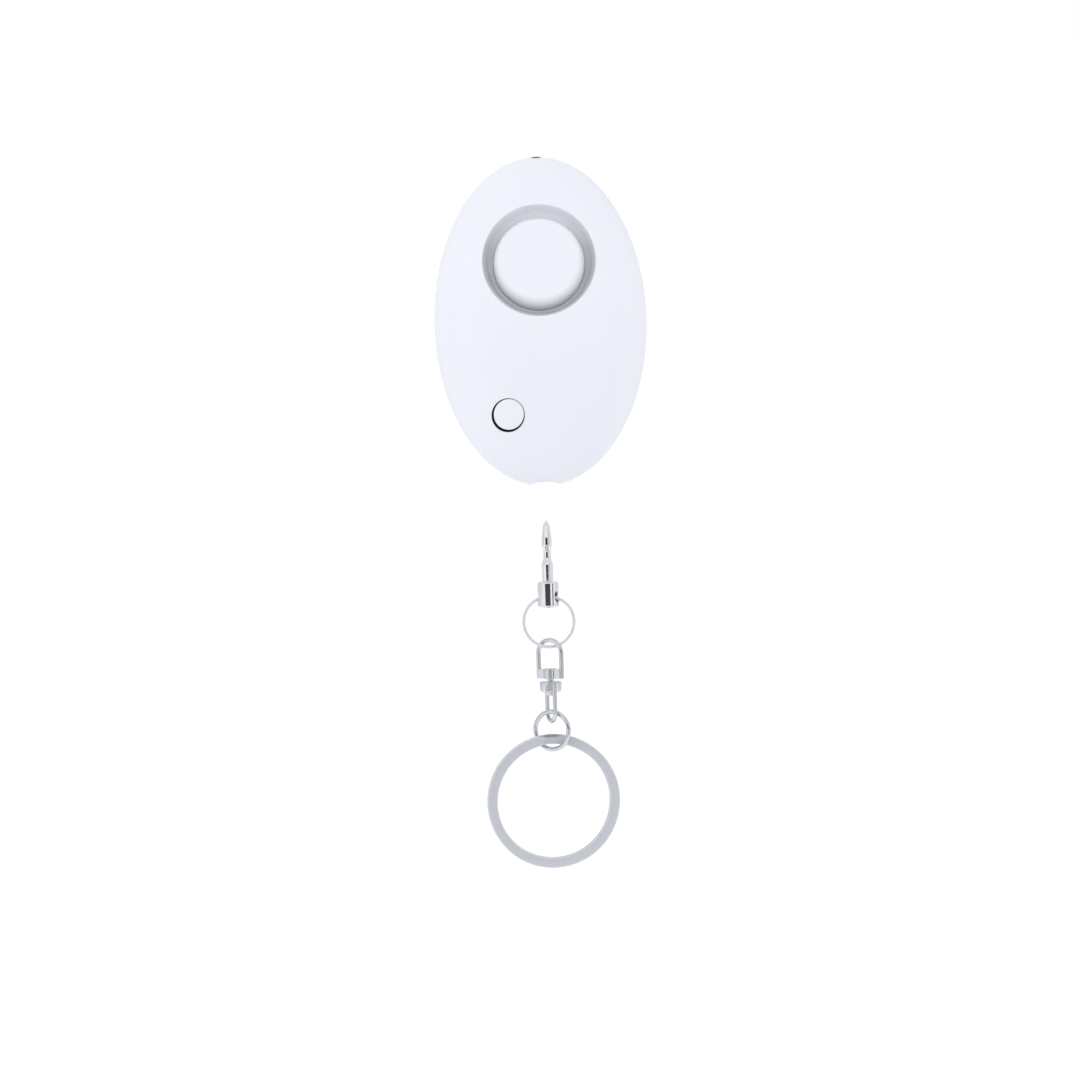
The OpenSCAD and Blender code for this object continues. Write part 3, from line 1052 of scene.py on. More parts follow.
# Painted shade over the cap's rounded edge, darkest at the bottom.
WHITE_CAP = RecessedPlastic("white siren cap", (0.80, 0.815, 0.85), 0.36, coat=0.1, recesses=(
    Recess(0.0, 10.4, 8.7, 1.6, ((0.1, 0.64), (0.35, 0.80), (0.6, 0.90), (0.85, 1.0)), outside=True),))
PLATED_CASTING = PlatedMetal("plated casting", (0.64, 0.65, 0.675), 0.15)
SATIN_WIRE = SatinMetal("satin wire", (0.75, 0.76, 0.79), 0.4, scratch=1.2, metallic=0.7, depth=0.002)
TURNED_CHROME = PlatedMetal("bright turned pin", (0.82, 0.83, 0.855), 0.06, lines=6.0)
# Painted shade in the right mouth of the collar's eye.
COLLAR_CHROME = PlatedMetal("bright turned collar", (0.79, 0.80, 0.825), 0.06, lines=6.0,
                            shade_patch=ShadePatch((1.6, -8.9, -51.85), (0.9, 1.3, 1.15), 0.15))
# Painted shadow on the back turn along the front strip's tip, and a painted highlight along the strip's inner and
# outer edge.
NICKEL = EdgeLitRing("satin split ring", (0.60, 0.615, 0.645), 0.5, (1.0, 1.0, 1.0), 2.5, 0.6,
                  shade_patch=ShadePatch((0.0, -9.0, -78.25), (2.2, 0.5, 0.35), 0.5),
                  centre=(0.0, -9.15, -90.5), radii=(10.69, 12.6))
SCREW_STEEL = SatinMetal("screw steel", (0.32, 0.32, 0.34), 0.35, (1.0, 1.0, 1.0), 4.0)
SHEET_STEEL = SatinMetal("tinned sheet", (0.66, 0.67, 0.69), 0.3)
CELL_STEEL = SatinMetal("cell steel", (0.70, 0.71, 0.73), 0.25, (1.0, 0.2, 0.2), 3.0)
BRASS = SatinMetal("spring brass", (0.72, 0.53, 0.23), 0.28, (0.3, 1.0, 1.0), 3.0)
CERAMIC = MattPlastic("silvered ceramic", (0.62, 0.62, 0.60), 0.4)
BLACK = MattPlastic("black moulding", (0.025, 0.025, 0.027), 0.45)
FERRITE = MattPlastic("ferrite", (0.06, 0.06, 0.065), 0.55, 5.0)
BOARD = BoardLacquer("board lacquer", (0.025, 0.16, 0.06), 0.35)
COPPER = WoundWire("copper winding", (0.75, 0.33, 0.15), 0.3)
SLEEVE = MattPlastic("wire sleeve", (0.45, 0.03, 0.03), 0.4, detail=2.0, tones=(0.85, 1.1), spread=0.1)
LENS = ClearResin("clear lamp resin", (0.72, 0.75, 0.78), 0.06)


class SubAssembly:
    """A group of pieces that are built and dressed together."""

    def build(self) -> None:
        """Build, dress and seat every piece."""
        raise NotImplementedError

    @staticmethod
    def seat(piece: bpy.types.Object, body: str, slot: str, finish: Finish, *nodes: str) -> None:
        """Dress a piece, let it ride on its body and report it.

        Args:
            piece: The piece.
            body: Body that it moves with.
            slot: Not used.
            finish: The finish.
            nodes: Nodes that it stands for.
        """
        piece.data.materials.clear()
        piece.data.materials.append(finish.material())
        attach(piece, body)
        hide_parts(*nodes)
        log.info("%s: %d faces, %s, on %s", piece.name, len(piece.data.polygons), finish.name, body)

    @staticmethod
    def keep(finish: Finish, *nodes: str) -> None:
        """Dress nodes that stay as they are, and report them.

        Args:
            finish: The finish.
            nodes: Names of the nodes.
        """
        for name in nodes:
            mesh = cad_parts[name].data
            mesh.materials.clear()
            mesh.materials.append(finish.material())
            log.info("%s: kept, %s", name, finish.name)


@dataclass
class Case(SubAssembly):
    """Front and rear shell and the screws that hold them, in millimetres."""

    sides: int = 480
    hole_sides: int = 96
    spacing: float = 0.55
    seam: float = 0.16
    front_field: float = 0.84
    rear_field: float = 0.93
    lip_out: float = 0.3
    lip_thick: float = 0.8
    lip_rise: float = 1.2
    screw_places: tuple[Plan, ...] = ((-14.0, 11.997), (14.0, 11.997), (8.5, -19.003))
    boss_r: float = 2.3
    pilot_r: float = 1.02
    pilot_top: float = 4.0
    well_r: float = 2.1
    well_edge: float = 0.3
    head_seat: float = 3.4
    shank_r: float = 1.1
    stake_places: tuple[Plan, ...] = ((-9.5, -17.492), (3.5, -22.797))
    stake_r: float = 1.6
    stake_pin_r: float = 0.6
    stake_levels: Plan = (3.52, 2.6)
    lamp_hole: float = 1.55
    pin_hole: float = 1.35
    hole_over: float = 2.0
    hole_in: float = 5.0
    skin_rings: int = 22
    border_room: float = 0.012
    inner_room: float = 0.985
    inner_spacing: float = 2.2
    front_foot: float = 0.1
    rear_foot: float = 0.05
    well_steps: int = 4
    notches: tuple[Point, ...] = ((4.0, -28.2, -24.0), (2.6, 24.0, 28.2))
    notch_depth: float = 2.0

    def build(self) -> None:
        """Build, dress and seat every piece."""
        self.seat(self.front_shell(), "casing", "white_shell", WHITE_FRONT, "front_shell")
        self.seat(self.rear_shell(), "casing", "white_shell", WHITE_SHELL, "rear_shell")
        self.keep(SCREW_STEEL, "case_screws")

    def outer_skin(self, casting: Casting, height: Callable[[float, float], float], way: float, share: float,
                   depth: float, openings: Sequence[Opening]) -> None:
        """Skin from the seam to the crown, with its openings and the pin's notch.

        Args:
            casting: Mesh that takes the skin.
            height: Height of the skin over a spot.
            way: -1 for the front and 1 for the rear.
            share: Share of the half width up to which the openings reach.
            depth: Depth of the oval dome at the rim.
            openings: The openings.
        """
        def lift(x: float, z: float) -> Point:
            """Point of the skin over a spot."""
            return FORM.notched(x, FORM.part_y + way * height(x, z), z)

        low = math.asin(share)
        first = math.acos(self.seam / depth)
        turns = [first + (low - first) * i / self.skin_rings for i in range(self.skin_rings + 1)]
        rim = [FORM.notched(x, FORM.part_y, z) for x, z in FORM.oval(FORM.half_w - self.seam, self.sides)]
        rings = [[lift(x, z) for x, z in FORM.oval(FORM.half_w * math.sin(turn), self.sides)] for turn in turns]
        casting.stack([rim, *rings])
        border = FORM.half_w * share
        casting.drape(FORM.oval(border, self.sides), FORM.spots(border, self.spacing), openings,
                      lambda spot: FORM.share(*spot) < share - self.border_room, lift)

    def inner_skin(self, casting: Casting, height: Callable[[float, float], float], way: float, edge: float,
                   openings: Sequence[Opening]) -> None:
        """Skin inside the wall from an oval edge inwards, with the feet of its bosses left open.

        Args:
            casting: Mesh that takes the skin.
            height: Height of the skin over a spot.
            way: -1 for the front and 1 for the rear.
            edge: Half width of the oval edge.
            openings: The feet of the bosses.
        """
        def within(spot: Plan) -> bool:
            """Whether a spot lies well inside the edge."""
            return FORM.share(*spot) * FORM.half_w / edge < self.inner_room

        def lift(x: float, z: float) -> Point:
            """Point of the skin over a spot."""
            return x, FORM.part_y + way * height(x, z), z

        spots = [spot for spot in FORM.spots(edge, self.inner_spacing * self.spacing) if within(spot)]
        casting.drape(FORM.oval(edge, self.sides), spots, openings, within, lift)

    def boss(self, casting: Casting, height: Callable[[float, float], float], way: float, opening: Opening,
             steps: Sequence[Plan], closed: bool = False) -> list[int]:
        """Round walls that stand on the inner skin round an opening.

        Args:
            casting: Mesh that takes the walls.
            height: Height of the skin over a spot.
            way: -1 for the front and 1 for the rear.
            opening: The opening.
            steps: Radius and height of each further ring.
            closed: Whether the last ring is closed with a floor.

        Returns:
            The last loop.
        """
        foot = [(x, FORM.part_y + way * height(x, z), z) for x, z in opening.ring()]
        count = len(opening.radii)
        rings = [[(opening.x + u, FORM.part_y + way * level, opening.z + v) for u, v in circle(radius, count)]
                 for radius, level in steps]
        _, last = casting.stack([foot, *rings])
        if closed:
            casting.hub(last, (opening.x, FORM.part_y + way * steps[-1][1], opening.z))
        return last

    def round_opening(self, place: Plan, radius: float) -> Opening:
        """Plain round opening at a place."""
        return Opening(*place, (radius,) * self.hole_sides)

    def front_shell(self) -> bpy.types.Object:
        """Front shell with the siren's groove and the button's guide.

        Returns:
            The shell.
        """
        casting = Casting()
        siren, button = Siren(), LightControls()
        groove, guide = siren.groove_edge(), button.hole_edge()
        self.outer_skin(casting, FORM.front, -1, self.front_field, FORM.front_full, (groove, guide))
        sleeve = Opening(0, siren.z, (siren.sleeve_out,) * siren.sides)
        collar = self.round_opening(button.place, button.guide_r)
        bosses = [self.round_opening(place, self.boss_r) for place in self.screw_places]
        rim = [(x, FORM.part_y, z) for x, z in FORM.oval(FORM.inner_w, self.sides)]
        seam = [FORM.notched(x, FORM.part_y, z) for x, z in FORM.oval(FORM.half_w - self.seam, self.sides)]
        casting.stack([seam, rim])
        self.inner_skin(casting, FORM.front_inside, -1, FORM.inner_w, (sleeve, collar, *bosses))
        siren.line_groove(casting, groove, self.boss(casting, FORM.front_inside, -1, sleeve, siren.sleeve_steps()))
        button.line_hole(casting, guide, self.boss(casting, FORM.front_inside, -1, collar, button.guide_steps()))
        for opening in bosses:
            steps = ((self.boss_r, self.front_foot), (self.pilot_r, self.front_foot),
                     (self.pilot_r, self.pilot_top))
            self.boss(casting, FORM.front_inside, -1, opening, steps, closed=True)
        shell = casting.solid("front_cover")
        combine(shell, Cut.TAKE, self.end_holes())
        return shell

    def rear_shell(self) -> bpy.types.Object:
        """Rear shell with its lip, screw wells and board stakes.

        Returns:
            The shell.
        """
        casting = Casting()
        wells = [self.round_opening(place, self.well_r + self.well_edge) for place in self.screw_places]
        self.outer_skin(casting, FORM.rear, 1, self.rear_field, FORM.rear_full, wells)
        seam = [FORM.notched(x, FORM.part_y, z) for x, z in FORM.oval(FORM.half_w - self.seam, self.sides)]
        lip, root = FORM.inner_w - self.lip_out, FORM.rear_full - FORM.wall
        foot = FORM.inner_w * math.sqrt(1 - (self.lip_rise / root) ** 2)
        levels = ((lip, 0.0), (lip, -self.lip_rise), (lip - self.lip_thick, -self.lip_rise),
                  (lip - self.lip_thick, self.lip_rise), (foot, self.lip_rise))
        casting.stack([seam] + [[(x, FORM.part_y + level, z) for x, z in FORM.oval(half_w, self.sides)]
                                for half_w, level in levels])
        bosses = [self.round_opening(place, self.boss_r) for place in self.screw_places]
        stakes = [self.round_opening(place, self.stake_r) for place in self.stake_places]
        self.inner_skin(casting, FORM.rear_inside, 1, foot, (*bosses, *stakes))
        for well, opening in zip(wells, bosses):
            steps = ((self.boss_r, self.rear_foot), (self.shank_r, self.rear_foot))
            end = self.boss(casting, FORM.rear_inside, 1, opening, steps)
            casting.band(end, self.well(casting, well))
        high, top = self.stake_levels
        for opening in stakes:
            steps = ((self.stake_r, high), (self.stake_pin_r, high), (self.stake_pin_r, top))
            self.boss(casting, FORM.rear_inside, 1, opening, steps, closed=True)
        shell = casting.solid("rear_cover")
        front, back = FORM.part_y - self.notch_depth, FORM.part_y + self.notch_depth
        notches = [block("notch", (-half, front, low), (half, back, high)) for half, low, high in self.notches]
        combine(shell, Cut.TAKE, [*notches, *self.end_holes()])
        return shell

    def well(self, casting: Casting, edge: Opening) -> list[int]:
        """Screw well from its rounded mouth to the shank hole.

        Args:
            casting: Mesh of the rear shell.
            edge: Opening in the skin.

        Returns:
            The last loop.
        """
        rings = []
        for i in range(self.well_steps + 1):
            angle = i / self.well_steps * TURN / 4
            radius = self.well_r + self.well_edge * (1 - math.sin(angle))
            fall = self.well_edge * (1 - math.cos(angle))
            mouth = zip(edge.ring(), circle(radius, self.hole_sides))
            rings.append([(edge.x + u, FORM.part_y + FORM.rear(x, z) - fall, edge.z + v)
                          for (x, z), (u, v) in mouth])
        for radius, level in ((self.well_r, self.head_seat), (self.shank_r, self.head_seat)):
            rings.append([(edge.x + u, FORM.part_y + level, edge.z + v)
                          for u, v in circle(radius, self.hole_sides)])
        return casting.stack(rings)[1]

    def end_holes(self) -> list[bpy.types.Object]:
        """Tools for the pin's and the lamp's hole at the two ends.

        Returns:
            The two tools.
        """
        reach = FORM.half_h
        return [bar("pin_hole", (-reach - self.hole_over, self.hole_in - reach), (self.pin_hole,) * 2),
                bar("lamp_hole", (reach - self.hole_in, reach + self.hole_over), (self.lamp_hole,) * 2)]


@dataclass
class Siren(SubAssembly):
    """Siren cap in its groove, and the sounder behind it, in millimetres above the parting line."""

    z: float = 10.4
    sides: int = 240
    cap_r: float = 8.4
    flat_r: float = 7.2
    edge_fall: float = 2.6
    foot_r: float = 8.5
    foot_drop: float = 0.45
    floor: float = 5.6
    floor_r: float = 9.5
    rim_r: float = 10.45
    rim: float = 0.13
    throat_r: float = 8.65
    ledge: float = 4.4
    sleeve_r: float = 10.0
    sleeve_out: float = 11.2
    sleeve_end: float = 1.4
    flange_r: float = 9.8
    flange: Plan = (3.6, 4.38)
    hollow_r: float = 7.05
    hollow_top: float = 6.1
    slot_turns: tuple[float, ...] = (30.0, 90.0, 150.0)
    slot_half: Point = (12.0, 0.95, 1.7)
    slot_rise: float = 0.8
    rim_steps: int = 5
    rim_reach: float = 1.5
    wall_rests: Plan = (0.6, 0.18)
    cove: tuple[Plan, ...] = ((0.05, 0.04), (0.2, 0.0))
    foot_play: float = 0.05
    floor_depth: float = 0.16
    flat_rings: int = 16
    edge_rings: int = 12
    edge_gap: float = 0.12
    tuck: Point = (0.1, 0.15, 0.2)

    def build(self) -> None:
        """Build, dress and seat every piece."""
        self.seat(self.cap(), "casing", "white_shell", WHITE_CAP, "siren_cap")
        self.keep(BRASS, "piezo_disc")
        self.keep(CERAMIC, "piezo_ceramic")
        self.keep(BLACK, "piezo_clamp_ring")

    def spot(self, radius: float, angle: float, level: float) -> Point:
        """Point at a radius and an angle round the siren."""
        return radius * math.cos(angle), FORM.part_y - level, self.z + radius * math.sin(angle)

    def skin(self, radius: float, angle: float) -> float:
        """Height of the front skin at a radius and an angle round the siren."""
        return FORM.front(radius * math.cos(angle), self.z + radius * math.sin(angle))

    def angles(self) -> list[float]:
        """Angles round the siren."""
        return [TURN * i / self.sides for i in range(self.sides)]

    def foot(self, angle: float) -> float:
        """Radius of the cap's foot at an angle, which sits a little low in the groove."""
        low = self.foot_drop * math.sin(angle)
        return math.sqrt(self.foot_r ** 2 - (self.foot_drop * math.cos(angle)) ** 2) - low

    def groove_edge(self) -> Opening:
        """Opening of the groove in the front skin."""
        return Opening(0.0, self.z, (self.rim_r + self.rim,) * self.sides)

    def sleeve_steps(self) -> tuple[Plan, ...]:
        """Rings of the sleeve from its foot to the ledge."""
        return ((self.sleeve_out, self.sleeve_end), (self.sleeve_r, self.sleeve_end), (self.sleeve_r, self.ledge),
                (self.throat_r, self.ledge))

    def line_groove(self, casting: Casting, edge: Opening, inside: Sequence[int]) -> None:
        """Line the groove from its rounded rim down to the throat.

        Args:
            casting: Mesh of the front shell.
            edge: Opening in the skin.
            inside: Last loop of the sleeve.
        """
        columns = []
        ts = [i / self.rim_steps for i in range(self.rim_steps + 1)]
        for angle, outer in zip(self.angles(), edge.radii):
            start = Vector((outer, self.skin(outer, angle)))
            turn = Vector((self.rim_r, self.skin(self.rim_r, angle)))
            corner = Vector((self.floor_r, self.floor))
            wall = corner - turn
            end = turn + wall.normalized() * self.rim_reach * self.rim
            profile = [start * (1 - t) ** 2 + turn * (2 * t * (1 - t)) + end * t * t for t in ts]
            foot = [corner - wall.normalized() * away for away in self.wall_rests]
            lip, under = self.foot(angle) + self.foot_play, self.floor - self.floor_depth
            floor = [Vector((self.floor_r - inset, self.floor + rise)) for inset, rise in self.cove]
            floor += [Vector((lip, self.floor)), Vector((lip, under)), Vector((self.throat_r, under))]
            columns.append([self.spot(place.x, angle, place.y) for place in profile + foot + floor])
        casting.band(casting.stack(list(zip(*columns)))[1], inside)

    def cap(self) -> bpy.types.Object:
        """Round cap that follows the front skin, with a rounded edge, a flange and sound slots.

        Returns:
            The cap.
        """
        casting = Casting()
        feet = [(a, self.foot(a)) for a in self.angles()]
        radii = [self.flat_r * i / self.flat_rings for i in range(1, self.flat_rings + 1)]
        rings = [[self.spot(r, a, self.skin(r, a)) for a in self.angles()] for r in radii]
        falls = [min(self.edge_fall, self.skin(foot, a) - self.floor - self.edge_gap) for a, foot in feet]
        for i in range(1, self.edge_rings + 1):
            turn = i / self.edge_rings * TURN / 4
            edge = [self.flat_r + (foot - self.flat_r) * math.sin(turn) for _, foot in feet]
            rings.append([self.spot(radius, a, self.skin(radius, a) - fall * (1 - math.cos(turn)))
                          for a, radius, fall in zip(self.angles(), edge, falls)])
        under = self.floor - self.tuck[0]
        rings.append([self.spot(foot, a, under) for a, foot in feet])
        for level in (under, under - self.tuck[1]):
            rings.append([self.spot(min(foot, self.cap_r), a, level) for a, foot in feet])
        low, high = self.flange
        for radius, level in ((self.cap_r, under - self.tuck[2]), (self.cap_r, high), (self.flange_r, high),
                              (self.flange_r, low), (self.hollow_r, low), (self.hollow_r, self.hollow_top)):
            rings.append([self.spot(radius, a, level) for a in self.angles()])
        first, last = casting.stack(rings)
        casting.hub(first, self.spot(0, 0, self.skin(0, 0)))
        casting.hub(last, self.spot(0, 0, self.hollow_top))
        cap = casting.solid("siren_dome")
        combine(cap, Cut.TAKE, [self.slot(turn) for turn in self.slot_turns])
        return cap

    def slot(self, turn: float) -> bpy.types.Object:
        """Tool for one pair of sound slots across the cap's foot.

        Args:
            turn: Turn of the pair, in degrees.

        Returns:
            The tool.
        """
        tool = block("slot", tuple(-size for size in self.slot_half), self.slot_half)
        centre = Vector((0, FORM.part_y - self.flange[0] - self.slot_rise, self.z)) * MM
        tool.data.transform(Matrix.Translation(centre) @ Matrix.Rotation(math.radians(turn), 4, "Y"))
        return tool


@dataclass
class LightControls(SubAssembly):
    """Light button, its switch, and the torch lamp, in millimetres."""

    place: Plan = (-6.5, -17.98)
    sides: int = 96
    hole_r: float = 3.05
    hole_edge_r: float = 0.08
    cap_r: float = 2.835
    cap_edge: float = 0.16
    play: float = 0.14
    proud: float = 0.18
    guide_r: float = 4.2
    guide_end: float = 4.0
    flange_r: float = 3.7
    flange: Plan = (3.95, 3.35)
    stem_r: float = 1.2
    stem_end: float = 1.85
    lamp_r: float = 1.5
    lamp_flange_r: float = 1.9
    lamp_flange: Plan = (26.4, 27.4)
    lamp_top: float = 31.19
    lamp_dome: float = 0.7
    lamp_edge: float = 0.12
    lamp_neck: float = 1.0
    lamp_sides: int = 64
    lens_steps: int = 14
    rim_steps: int = 3
    flat_rings: int = 6
    edge_rings: int = 5

    def build(self) -> None:
        """Build, dress and seat every piece."""
        self.seat(self.button(), "light_button", "white_button", WHITE_BUTTON, "light_button")
        self.seat(self.lamp(), "casing", "lens", LENS, "torch_lamp")
        self.keep(BLACK, "switch_plunger")
        self.keep(SHEET_STEEL, "light_switch", "lamp_leads")

    def skin(self, radius: float, angle: float, play: float = 0.0) -> float:
        """Height of the front skin at a radius and an angle round the hole, or round the button in its play."""
        x, z = self.place
        return FORM.front(x + play + radius * math.cos(angle), z + play + radius * math.sin(angle))

    def angles(self) -> list[float]:
        """Angles round the button."""
        return [TURN * i / self.sides for i in range(self.sides)]

    def hole_edge(self) -> Opening:
        """Opening for the button in the front skin."""
        return Opening(*self.place, (self.hole_r + self.hole_edge_r,) * self.sides)

    def guide_steps(self) -> tuple[Plan, ...]:
        """Rings of the guide from its foot to the bore."""
        return (self.guide_r, self.guide_end), (self.hole_r, self.guide_end)

    def line_hole(self, casting: Casting, edge: Opening, inside: Sequence[int]) -> None:
        """Line the button's hole from its rounded rim to the guide's end.

        Args:
            casting: Mesh of the front shell.
            edge: Opening in the skin.
            inside: Last loop of the guide.
        """
        spot = turned(Axis.Y, *self.place)
        rings = []
        for i in range(self.rim_steps + 1):
            turn = i / self.rim_steps * TURN / 4
            radius = self.hole_r + self.hole_edge_r * (1 - math.sin(turn))
            fall = self.hole_edge_r * (1 - math.cos(turn))
            rings.append([spot(radius, a, self.skin(radius, a) - fall) for a in self.angles()])
        casting.band(casting.stack(rings)[1], inside)

    def button(self) -> bpy.types.Object:
        """Button cap that follows the front skin, on its flange and stem.

        Returns:
            The button.
        """
        casting = Casting()
        spot = turned(Axis.Y, self.place[0] + self.play, self.place[1] + self.play)
        flat = self.cap_r - self.cap_edge
        radii = [flat * i / self.flat_rings for i in range(1, self.flat_rings + 1)]
        rings = [[spot(r, a, self.skin(r, a, self.play) + self.proud) for a in self.angles()] for r in radii]
        for i in range(1, self.edge_rings + 1):
            turn = i / self.edge_rings * TURN / 4
            radius = flat + self.cap_edge * math.sin(turn)
            level = self.proud - self.cap_edge * (1 - math.cos(turn))
            rings.append([spot(radius, a, self.skin(radius, a, self.play) + level) for a in self.angles()])
        high, low = self.flange
        for radius, level in ((self.cap_r, high), (self.flange_r, high), (self.flange_r, low), (self.stem_r, low),
                              (self.stem_r, self.stem_end)):
            rings.append([spot(radius, a, level) for a in self.angles()])
        first, last = casting.stack(rings)
        casting.hub(first, spot(0, 0, self.skin(0, 0, self.play) + self.proud))
        casting.hub(last, spot(0, 0, self.stem_end))
        return casting.solid("button_cap")

    def lamp(self) -> bpy.types.Object:
        """Lamp body with its flange and domed lens.

        Returns:
            The lamp.
        """
        low, high = self.lamp_flange
        casting = Casting()
        base = rounded([(0.0, low), (self.lamp_flange_r, low), (self.lamp_flange_r, high), (self.lamp_r, high),
                        (self.lamp_r, high + self.lamp_neck)], self.lamp_edge)
        foot = self.lamp_top - self.lamp_dome
        turns = [i / self.lens_steps * TURN / 4 for i in range(self.lens_steps)]
        lens = [(self.lamp_r * math.cos(t), foot + self.lamp_dome * math.sin(t)) for t in turns]
        casting.lathe([*base, *lens, (0.0, self.lamp_top)], turned(Axis.Z), self.lamp_sides)
        return casting.solid("lamp_lens")


@dataclass
class PullPin(SubAssembly):
    """Turned pull pin, its grip collar and the thin ring through it, in millimetres."""

    tip: float = -37.5
    steps: tuple[Plan, ...] = (
        (0.0, 0.0), (0.3, 0.35), (0.42, 0.7), (0.62, 0.9), (0.83, 2.9), (0.93, 3.2), (0.93, 4.8), (0.7, 5.8),
        (0.68, 7.2), (1.07, 8.3), (1.01, 11.58), (0.98, 11.62), (0.98, 13.4), (0.0, 13.4))
    collar_r: float = 2.0
    collar: Plan = (-49.1, -54.0)
    chamfer: float = 0.3
    spigot_r: float = 1.0
    spigot_end: float = -50.95
    eye_z: float = -51.85
    eye_r: float = 0.6
    mouth: Plan = (1.15, 2.85)
    mouth_r: float = 1.25
    hollow: Plan = (0.6, 2.85)
    hollow_radii: Plan = (0.35, 1.8)
    hollow_turn: float = 22.0
    ring_z: float = -56.70
    ring_r: float = 4.75
    ring_wire: float = 0.3
    pin_edge: float = 0.22
    grip_edge: float = 0.08
    eye_reach: float = 3.0
    sides: int = 96

    def build(self) -> None:
        """Build, dress and seat every piece."""
        self.seat(self.pin(), "pull_pin", "chrome", TURNED_CHROME, "pull_pin")
        self.seat(self.grip(), "pull_pin", "chrome", COLLAR_CHROME, "pin_collar")
        self.seat(wire_hoop("thin_ring", self.ring_z, self.ring_r, self.ring_wire, 0.0), "pin_ring", "chrome",
                  SATIN_WIRE, "pin_ring")

    def pin(self) -> bpy.types.Object:
        """The turned pin, with its steps eased.

        Returns:
            The pin.
        """
        casting = Casting()
        profile = rounded([(r, self.tip - down) for r, down in self.steps], self.pin_edge)
        casting.lathe(profile, turned(Axis.Z), self.sides)
        return casting.solid("turned_pin", WIRE_CREASE)

    def grip(self) -> bpy.types.Object:
        """The collar, bored for the pin and drilled across for the ring.

        Returns:
            The collar.
        """
        high, low = self.collar
        edge = self.collar_r - self.chamfer
        casting = Casting()
        profile = rounded([(0.0, self.spigot_end), (self.spigot_r, self.spigot_end), (self.spigot_r, high),
                           (edge, high), (self.collar_r, high - self.chamfer), (self.collar_r, low + self.chamfer),
                           (edge, low), (0.0, low)], self.grip_edge)
        casting.lathe(profile, turned(Axis.Z), self.sides)
        piece = casting.solid("grip_collar")
        tools = [self.across((-self.eye_reach, self.eye_reach), (self.eye_r, self.eye_r))]
        for side in (-1, 1):
            tools += [self.across((side * self.mouth[0], side * self.mouth[1]), (self.eye_r, self.mouth_r)),
                      self.across((side * self.hollow[0], side * self.hollow[1]), self.hollow_radii,
                                  self.hollow_turn)]
        combine(piece, Cut.TAKE, tools)
        return piece

    def across(self, ends: Plan, radii: Plan, turn: float = 0.0) -> bpy.types.Object:
        """Round tool through the eye.

        Args:
            ends: Places of its two ends along the tool.
            radii: Radii at its two ends.
            turn: Turn from X to the front on the right, in degrees.

        Returns:
            The tool.
        """
        cos, sin = math.cos(math.radians(turn)), math.sin(math.radians(turn))
        return bar("eye", ends, radii, lambda r, a, level: (level * cos + r * math.cos(a) * sin,
                                                            FORM.part_y - level * sin + r * math.cos(a) * cos,
                                                            self.eye_z + r * math.sin(a)))


def wire_hoop(name: str, z: float, radius: float, wire: float, turn: float, gap: float = 0.0,
              gap_at: float = 0.0) -> bpy.types.Object:
    """Round ring of round wire about the pin's axis.

    Args:
        name: Name of the piece.
        z: Height of its middle.
        radius: Radius to the middle of the wire.
        wire: Radius of the wire.
        turn: Turn about Z, in degrees.
        gap: Width of the open seam, or 0 for a closed ring.
        gap_at: Angle of the seam round the ring, in degrees.

    Returns:
        The ring.
    """
    flat, across = plane_of(turn)
    span = TURN - gap / radius
    start = math.radians(gap_at) + gap / radius / 2
    steps = HOOP_STEPS if gap == 0 else HOOP_STEPS - 1
    angles = [start + span * i / steps for i in range(HOOP_STEPS)]
    path = [middle(z) + flat * (radius * math.cos(a)) + Vector((0, 0, radius * math.sin(a))) for a in angles]
    casting = Casting()
    casting.sweep(path, across, circle(wire, WIRE_SIDES), gap == 0)
    return casting.solid(name, WIRE_CREASE)


def middle(z: float) -> Vector:
    """Point on the pin's axis at a height."""
    return Vector((0, FORM.part_y, z))


def plane_of(turn: float) -> tuple[Vector, Vector]:
    """Directions along and square to an upright plane that is turned about Z, in degrees."""
    a = math.radians(turn)
    return Vector((math.cos(a), math.sin(a), 0)), Vector((-math.sin(a), math.cos(a), 0))


